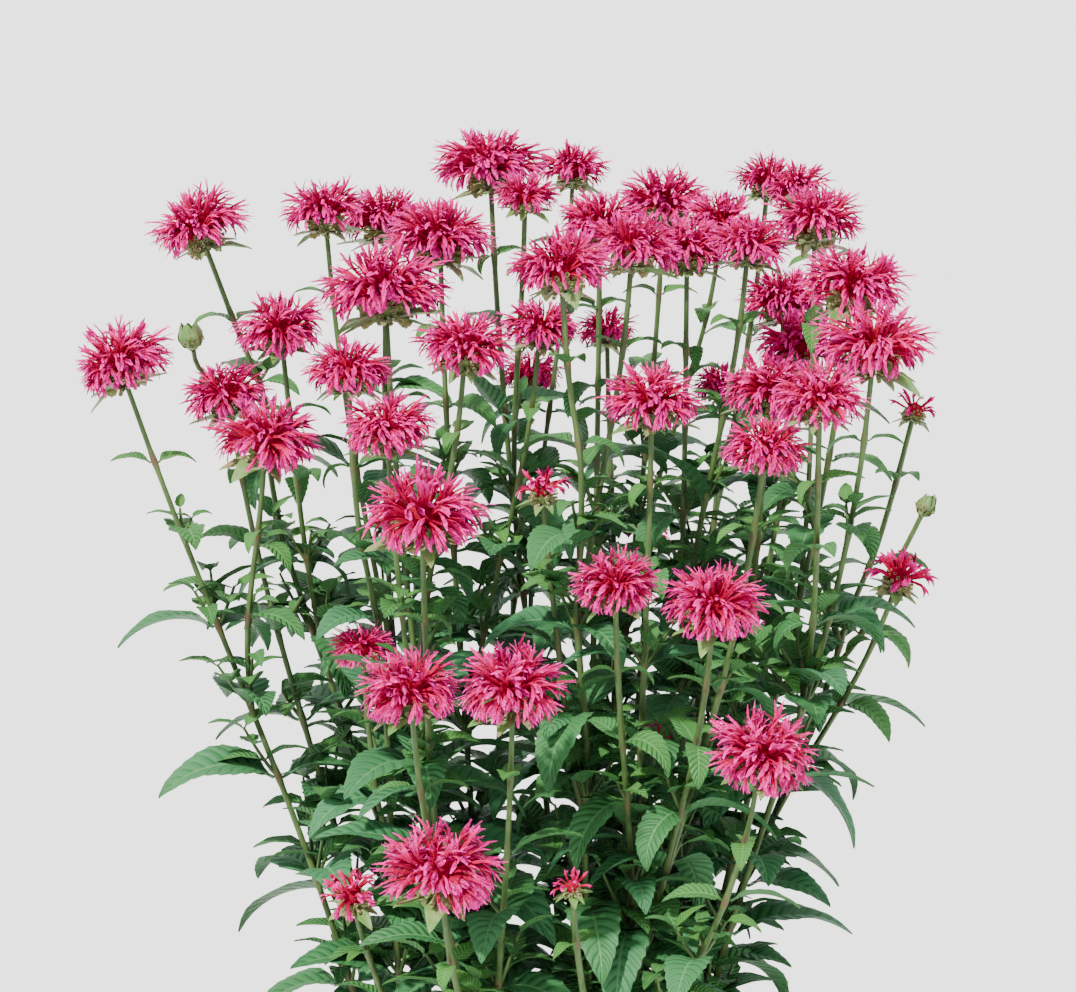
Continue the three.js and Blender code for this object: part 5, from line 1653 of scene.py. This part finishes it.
def add_stem_and_core(plant, index):
    """The stem of a head and the core of its cup."""
    add_stem(plant, index, STEM_GREEN)
    foot, _, up, axes = head_frame(index)
    radius = blooms[index]["radius"]
    add_ball(plant, foot + up * CORE_UP * radius, axes, up, CORE_WIDE * radius, CORE_HIGH * radius,
             CALYX_GREEN, along=0.1)


def add_shoot_stalk(plant, point, lean, tall):
    share = np.linspace(0, 1, 6)[:, None]
    run = point + lean * share + UP * tall * share ** SHOOT["rise_power"]
    add_rod(plant, run, np.linspace(*SHOOT_STALK, 6), SHOOT_STALK_TURN, STEM_GREEN, along=0.9)


def set_tones(group, number):
    """A tone and a freshness for every leaf that has none yet."""
    for leaf in group:
        leaf.setdefault("tone", float(number.random()))
        small = 1 - held((leaf["back"] - FRESH_FROM) / FRESH_OVER, 0, 1)
        leaf.setdefault("fresh", 0.65 * small + 0.15 * float(number.random()))


def clump_piece(clump):
    mine = [i for i, bloom in enumerate(blooms) if bloom["clump"] == clump]
    plant = Collector()
    add_crown(plant, clump)
    for index in mine:
        add_stem_and_core(plant, index)
    for stem, point, lean, tall in stalks:
        if stem in mine:
            add_shoot_stalk(plant, point, lean, tall)
    number = np.random.default_rng(clump + SEEDS["tones"])
    for group, teeth, spans in ((leaves + squeezed, 9, 4), (shoot_leaves, 3, 2)):
        own = [leaf for leaf in group if leaf["stem"] in mine]
        set_tones(own, number)
        add_blades(plant, own, LEAF_GREEN, teeth, spans, notch=0.09)
    bracts = [bract for index in mine for bract in bracts_of(index)]
    for closed, notch, slender in ((False, 0.05, 0.42), (True, 0.06, 0.62)):
        group = [bract for bract in bracts if bract["closed"] == closed]
        add_blades(plant, group, BRACT_GREEN, 2, 4, notch, stalk=0.9, slender=slender)
    calyces = springs_from([row for index in mine for row in calyx_rows(index)])
    piece = plant.build(CLUMPS[clump][0] + "_foliage", LEAFY, calyces)
    grow_on(piece, COPIES, Shapes=CALYCES, Finish=LEAFY[CALYX_GREEN], Seed=clump + SEEDS["calyx_tones"])
    return piece


clump_pieces = [clump_piece(clump) for clump in range(len(CLUMPS))]
settle(clump_pieces)
for piece in clump_pieces:
    print(piece.name, "triangles:", triangles(piece), "finishes:", len(piece.data.materials))

# %% [markdown]
# The pot. A hand-turned clay pot is a lathe shape: one outline turned about the middle. The rim stands
# proud, its edges are rounded, and drain holes go through the floor. The outline's sizes are the solid's
# own, each of its corners is rounded by a short arc, and a Boolean cuts the holes.

# %% Turned shapes
TURNED_SHARP = math.radians(50)


def pot_radius(height):
    """The outside of the pot's wall at a height."""
    return FOOT_RADIUS + (RIM_RADIUS - RIM_PROUD - FOOT_RADIUS) * height / POT_HEIGHT


def turned_piece(name, outline, around, material):
    """A closed piece turned from an outline that starts and ends on the middle line."""
    turn = np.arange(around) * 2 * math.pi / around
    ring = np.stack([np.cos(turn), np.sin(turn)], axis=1)
    rows = outline[1:-1]
    points = [(r * x, r * y, z) for r, z in rows for x, y in ring]
    points = [(0.0, 0.0, outline[0][1]), *points, (0.0, 0.0, outline[-1][1])]
    faces = [(0, 1 + (k + 1) % around, 1 + k) for k in range(around)]
    for row in range(len(rows) - 1):
        low, high = 1 + row * around, 1 + (row + 1) * around
        faces += [(low + k, low + (k + 1) % around, high + (k + 1) % around, high + k) for k in range(around)]
    last, top = 1 + (len(rows) - 1) * around, len(points) - 1
    faces += [(last + k, last + (k + 1) % around, top) for k in range(around)]
    mesh = bpy.data.meshes.new(name)
    mesh.from_pydata([tuple(c * MM for c in p) for p in points], [], faces)
    mesh.update()
    mesh.materials.append(material)
    mesh.shade_smooth()
    mesh.set_sharp_from_angle(angle=TURNED_SHARP)
    return linked(name, mesh)


def eased(corners, ease):
    """The outline with each corner rounded by a short arc of three points."""
    corners = [np.array(c, dtype=float) for c in corners]
    rounded = [corners[0]]
    for before, here, after in zip(corners, corners[1:], corners[2:]):
        cut = min(ease, np.linalg.norm(here - before) * 0.4, np.linalg.norm(after - here) * 0.4)
        start, end = here + unit(before - here) * cut, here + unit(after - here) * cut
        rounded += [start, (start + 2 * here + end) / 4, end]
    return [tuple(c) for c in rounded + [corners[-1]]]


print("pot radius, mm, at the foot and the top:", pot_radius(0), pot_radius(POT_HEIGHT))

# %% [markdown]
# Fired clay is a dull orange, cloudy and gritty. Water that seeps through the wall leaves pale salts on its
# lower part, and the thrower's fingers leave faint rings.

# %% The pot
POT_AROUND, POT_EASE = 96, 3.0
DRAINS, DRAIN_AROUND = 4, 24


def clay_finish():
    finish = Finish("terracotta", Specular_IOR_Level=0.25)
    rings = finish.node("ShaderNodeTexWave", {"wave_type": "BANDS", "bands_direction": "Z"},
                        {"Vector": finish.place(), "Scale": 70.0, "Distortion": 2.5, "Detail": 2.0}, "Fac")
    cloud, grit = finish.noise(9.0, 5.0, 0.6), finish.noise(420.0, 3.0, 0.7)
    base = finish.blend(finish.span(cloud, 0.3, 0.7), (0.30, 0.105, 0.048), (0.46, 0.185, 0.095))
    specked = finish.blend(finish.span(grit, 0.55, 0.8, 0.0, 0.4), base, (0.55, 0.32, 0.2))
    height = finish.node("ShaderNodeSeparateXYZ", {}, {0: finish.place()}, 2)
    low_down = finish.math("SUBTRACT", 1.0, finish.span(height, 0.02, 0.17, 0.15, 0.75))
    salts = finish.times(finish.span(finish.noise(14.0, 6.0, 0.65), 0.45, 0.7), low_down)
    finish.bump(finish.math("MULTIPLY_ADD", rings, 0.5, grit), 0.35, 0.0008)
    finish.roughness(finish.span(cloud, 0.2, 0.8, 0.72, 0.92))
    return finish.colour(finish.blend(finish.times(salts, 0.5), specked, (0.62, 0.50, 0.42)))


def pot_corners():
    rim_low = POT_HEIGHT - RIM_HEIGHT
    return [(0, 0), (FOOT_RADIUS, 0), (pot_radius(rim_low), rim_low), (RIM_RADIUS - 1, rim_low + 1),
            (RIM_RADIUS, POT_HEIGHT), (pot_radius(POT_HEIGHT) - POT_WALL, POT_HEIGHT),
            (pot_radius(POT_FLOOR) - POT_WALL, POT_FLOOR), (0, POT_FLOOR)]


def drain_plug(angle):
    """A cylinder through the pot's floor, to cut a drain hole with."""
    x, y = DRAIN_CIRCLE * math.cos(angle) * MM, DRAIN_CIRCLE * math.sin(angle) * MM
    bpy.ops.mesh.primitive_cylinder_add(vertices=DRAIN_AROUND, radius=DRAIN_RADIUS * MM,
                                        depth=3 * POT_FLOOR * MM, location=(x, y, 0.5 * POT_FLOOR * MM))
    return bpy.context.object


def cut_drains(piece):
    plugs = [drain_plug(2 * math.pi * (k + 0.5) / DRAINS) for k in range(DRAINS)]
    for plug in plugs:
        cut = piece.modifiers.new("drain", "BOOLEAN")
        cut.operation, cut.solver, cut.object = "DIFFERENCE", "EXACT", plug
    settle([piece])
    for plug in plugs:
        bpy.data.objects.remove(plug)
    piece.data.set_sharp_from_angle(angle=TURNED_SHARP)


pot = turned_piece("pot_clay", eased(pot_corners(), POT_EASE), POT_AROUND, clay_finish())
cut_drains(pot)
print("pot triangles:", triangles(pot), "height m:", round(pot.dimensions.z, 4))

# %% [markdown]
# Crumbs. Potting mix is dark peat with bark chips and white grains of perlite. A crumb is a ball of a few
# points, pushed in and out by chance and stretched: round ones are crumbs, flat and long ones are bark. All
# share one finish, which turns the few with the highest tones white.

# %% Crumbs of the potting mix
def soil_finish():
    finish = Finish("potting_soil", Specular_IOR_Level=0.2, Roughness=0.92)
    clods, damp = finish.noise(60.0, 6.0, 0.7), finish.noise(12.0, 3.0)
    base = finish.blend(finish.span(clods, 0.3, 0.7), (0.018, 0.011, 0.007), (0.075, 0.046, 0.027))
    tones = finish.blend(finish.span(finish.value("tone"), 0.35, 1.0, 0.0, 0.7), base, (0.13, 0.08, 0.045))
    pale = finish.blend(finish.span(finish.value("tone"), 0.955, 0.965), tones, (0.62, 0.60, 0.55))
    finish.bump(clods, 0.8, 0.003)
    return finish.colour(finish.blend(finish.span(damp, 0.35, 0.7, 0.0, 0.35), pale, (0.012, 0.008, 0.006)))


def crumb_shape(stretch, sides, seed):
    number = np.random.default_rng(seed)
    shape = Collector()
    angle = np.linspace(-1.1, 1.1, 3)
    turn = np.arange(sides) * 2 * math.pi / sides
    ring = np.stack([np.cos(turn), np.sin(turn), np.zeros(sides)], axis=1)
    loops = ring[None] * np.cos(angle)[:, None, None] + UP * np.sin(angle)[:, None, None]
    uneven = 1 + 0.28 * number.standard_normal((3, sides, 1)).clip(-1, 1)
    shape.sweep((loops * uneven * np.array(stretch))[None], 0)
    return shape


SOIL = soil_finish()
CRUMBS = shape_shelf("crumb_shapes", {
    "crumb_0": crumb_shape((1.0, 1.0, 0.8), 5, 1), "crumb_1": crumb_shape((1.0, 0.7, 0.7), 5, 2),
    "crumb_2": crumb_shape((1.9, 0.8, 0.25), 4, 3), "crumb_3": crumb_shape((1.4, 0.4, 0.3), 4, 4),
}, SOIL)

# %% [markdown]
# The potting mix. It is a plain turned plug that fills the pot, with a slightly uneven top. The second tree
# scatters crumbs over that top, turned any way up. A power of a random number makes most of them small.

# %% The potting mix
CRUMB_DENSITY, CRUMB_SEED = 21000.0, 5
CRUMB_LEAST, CRUMB_MOST, CRUMB_POWER = 0.001, 0.0042, 2.6
SOIL_INSIDE = pot_radius(SOIL_TOP) - POT_WALL - 0.7
SOIL_FLAT = SOIL_TOP - 1.5


def scatter_tree():
    tree = CopyTree("crumbs_on_top", Base="Geometry", Shapes="Collection", Finish="Material",
                    Density="Float", Smallest="Float", Largest="Float", Seed="Int")
    given = tree.given
    points = tree.node("GeometryNodeDistributePointsOnFaces", {
        "Mesh": given["Base"], "Selection": tree.stored("top"), "Density": given["Density"],
        "Seed": given["Seed"]})
    turn = tree.node("FunctionNodeRandomValue", {"Max": (6.28, 6.28, 6.28), "Seed": given["Seed"]},
                     data_type="FLOAT_VECTOR")
    mostly_small = tree.node("ShaderNodeMath", {0: tree.chance(), 1: CRUMB_POWER}, operation="POWER")
    size = tree.node("ShaderNodeMapRange", {
        0: mostly_small.outputs[0], 3: given["Smallest"], 4: given["Largest"]})
    copies = tree.copies(points.outputs[0], {"Rotation": turn.outputs[0], "Scale": size.outputs[0]})
    return tree.finished(copies, given["Base"])


def soil_outline():
    below = POT_FLOOR + 0.4
    corners = [(0, below), (pot_radius(POT_FLOOR) - POT_WALL - 1, below),
               (SOIL_INSIDE, SOIL_TOP - SOIL_EDGE), (SOIL_INSIDE - 14, SOIL_FLAT)]
    return corners + [(r, SOIL_FLAT) for r in (100, 80, 60, 40, 20, 0)]


def uneven_top(piece):
    """Marks the points of the top, where crumbs go, and lifts and lowers them a little."""
    heights = np.array([vertex.co.z for vertex in piece.data.vertices])
    top = heights > (SOIL_TOP - SOIL_EDGE - 0.5) * MM
    keep_value(piece.data, "top", "FLOAT", top.astype(np.float32))
    for vertex in piece.data.vertices:
        x, y = vertex.co.x / MM, vertex.co.y / MM
        if 0 < math.hypot(x, y) < SOIL_INSIDE - 5 and vertex.co.z > 0.2:
            vertex.co.z += MM * 1.2 * math.sin(x / 17 + 1) * math.sin(y / 13)


soil = turned_piece("potting_mix_crumbs", soil_outline(), 60, SOIL)
uneven_top(soil)
grow_on(soil, scatter_tree(), Shapes=CRUMBS, Finish=SOIL, Density=CRUMB_DENSITY, Smallest=CRUMB_LEAST,
        Largest=CRUMB_MOST, Seed=CRUMB_SEED)
settle([soil])
print("soil triangles:", triangles(soil), "top m:", round(max(v.co.z for v in soil.data.vertices), 4))

# %% [markdown]
# What each piece stands for. A piece replaces the plain solid in its place and rides on the plant's one
# body. The shelves of shapes are cleared away.

# %% Pieces and their solids
def stands_for(piece, node):
    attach(piece, "root")
    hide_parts(node)


for shelf in (FLORETS, CALYCES, CRUMBS):
    for shape in list(shelf.objects):
        bpy.data.objects.remove(shape)
    bpy.data.collections.remove(shelf)
stands_for(pot, "pot")
stands_for(soil, "potting_mix")
for (node, _), piece in zip(CLUMPS, clump_pieces):
    stands_for(piece, node)
for piece in bloom_pieces:
    stands_for(piece, piece.name[:8])
print("pieces:", 2 + len(clump_pieces) + len(bloom_pieces))

# %% [markdown]
# The studio. The picture has a white surround, so the floor is wide and pale, and the camera sees a white
# that is brighter than what lights the plant. One light path node makes that split.

# %% Floor and surround
FLOOR_REACH, FLOOR_BELOW = 14.0, 0.0005
FILL, FILL_WHITE = 1.7, (0.93, 0.97, 1.0, 1.0)
SEEN, SEEN_WHITE = 2.8, (1.0, 0.997, 0.985, 1.0)
floor_mesh = bpy.data.meshes.new("studio_floor")
floor_mesh.from_pydata([(x * FLOOR_REACH, y * FLOOR_REACH, -FLOOR_BELOW)
                        for x, y in ((-1, -1), (1, -1), (1, 1), (-1, 1))], [], [(0, 1, 2, 3)])
floor = linked("studio_floor", floor_mesh)
floor_mesh.materials.append(Finish("pale_floor", Roughness=0.9, Specular_IOR_Level=0.1)
                            .colour((0.79, 0.79, 0.785)))

world = bpy.data.worlds.new("white_surround")
bpy.context.scene.world = world
world.use_nodes = True
surround = world.node_tree
fill, seen = surround.nodes["Background"], surround.nodes.new("ShaderNodeBackground")
for node, white, strength in ((fill, FILL_WHITE, FILL), (seen, SEEN_WHITE, SEEN)):
    node.inputs["Color"].default_value = white
    node.inputs["Strength"].default_value = strength
choose = surround.nodes.new("ShaderNodeMixShader")
surround.links.new(surround.nodes.new("ShaderNodeLightPath").outputs["Is Camera Ray"], choose.inputs[0])
surround.links.new(fill.outputs[0], choose.inputs[1])
surround.links.new(seen.outputs[0], choose.inputs[2])
surround.links.new(choose.outputs[0], surround.nodes["World Output"].inputs["Surface"])
print("surround: fill", FILL, "seen", SEEN)

# %% [markdown]
# Light and camera. One strong, slightly soft key from high on the front left gives the bright sides and
# deep shadows of a plant in the sun. The camera stands where the picture was taken from: a little above,
# looking slightly down, and far enough back that the pot is below the frame.

# %% Light and camera
KEY = 8.1
SENSOR = 36.0


def sun_from(name, azimuth, elevation, strength, angle, colour):
    """A soft sun. Azimuth 0 stands in front of the plant and grows towards its right."""
    data = bpy.data.lights.new(name, "SUN")
    data.energy, data.angle, data.color = strength, math.radians(angle), colour
    a, e = math.radians(azimuth), math.radians(elevation)
    back = Vector((math.sin(a) * math.cos(e), -math.cos(a) * math.cos(e), math.sin(e)))
    linked(name, data).rotation_euler = back.to_track_quat("Z", "Y").to_euler()


sun_from("key", -34, 50, KEY, 3.0, (1.0, 0.97, 0.92))
camera_data = bpy.data.cameras.new("camera")
camera_data.sensor_fit = "HORIZONTAL"
camera_data.sensor_width = SENSOR
camera_data.lens = SENSOR * VIEW_DISTANCE / (PICTURE[0] * VIEW_PIXEL)
camera_data.clip_end = 60.0
camera = linked("camera", camera_data)
camera.location = Vector(tuple(EYE * MM))
camera.rotation_euler = (math.pi / 2 - VIEW_DOWN, 0, 0)
bpy.context.scene.camera = camera
print("camera at, m:", [round(c, 3) for c in camera.location], "lens mm:", round(camera_data.lens, 1))

# %% [markdown]
# The end.
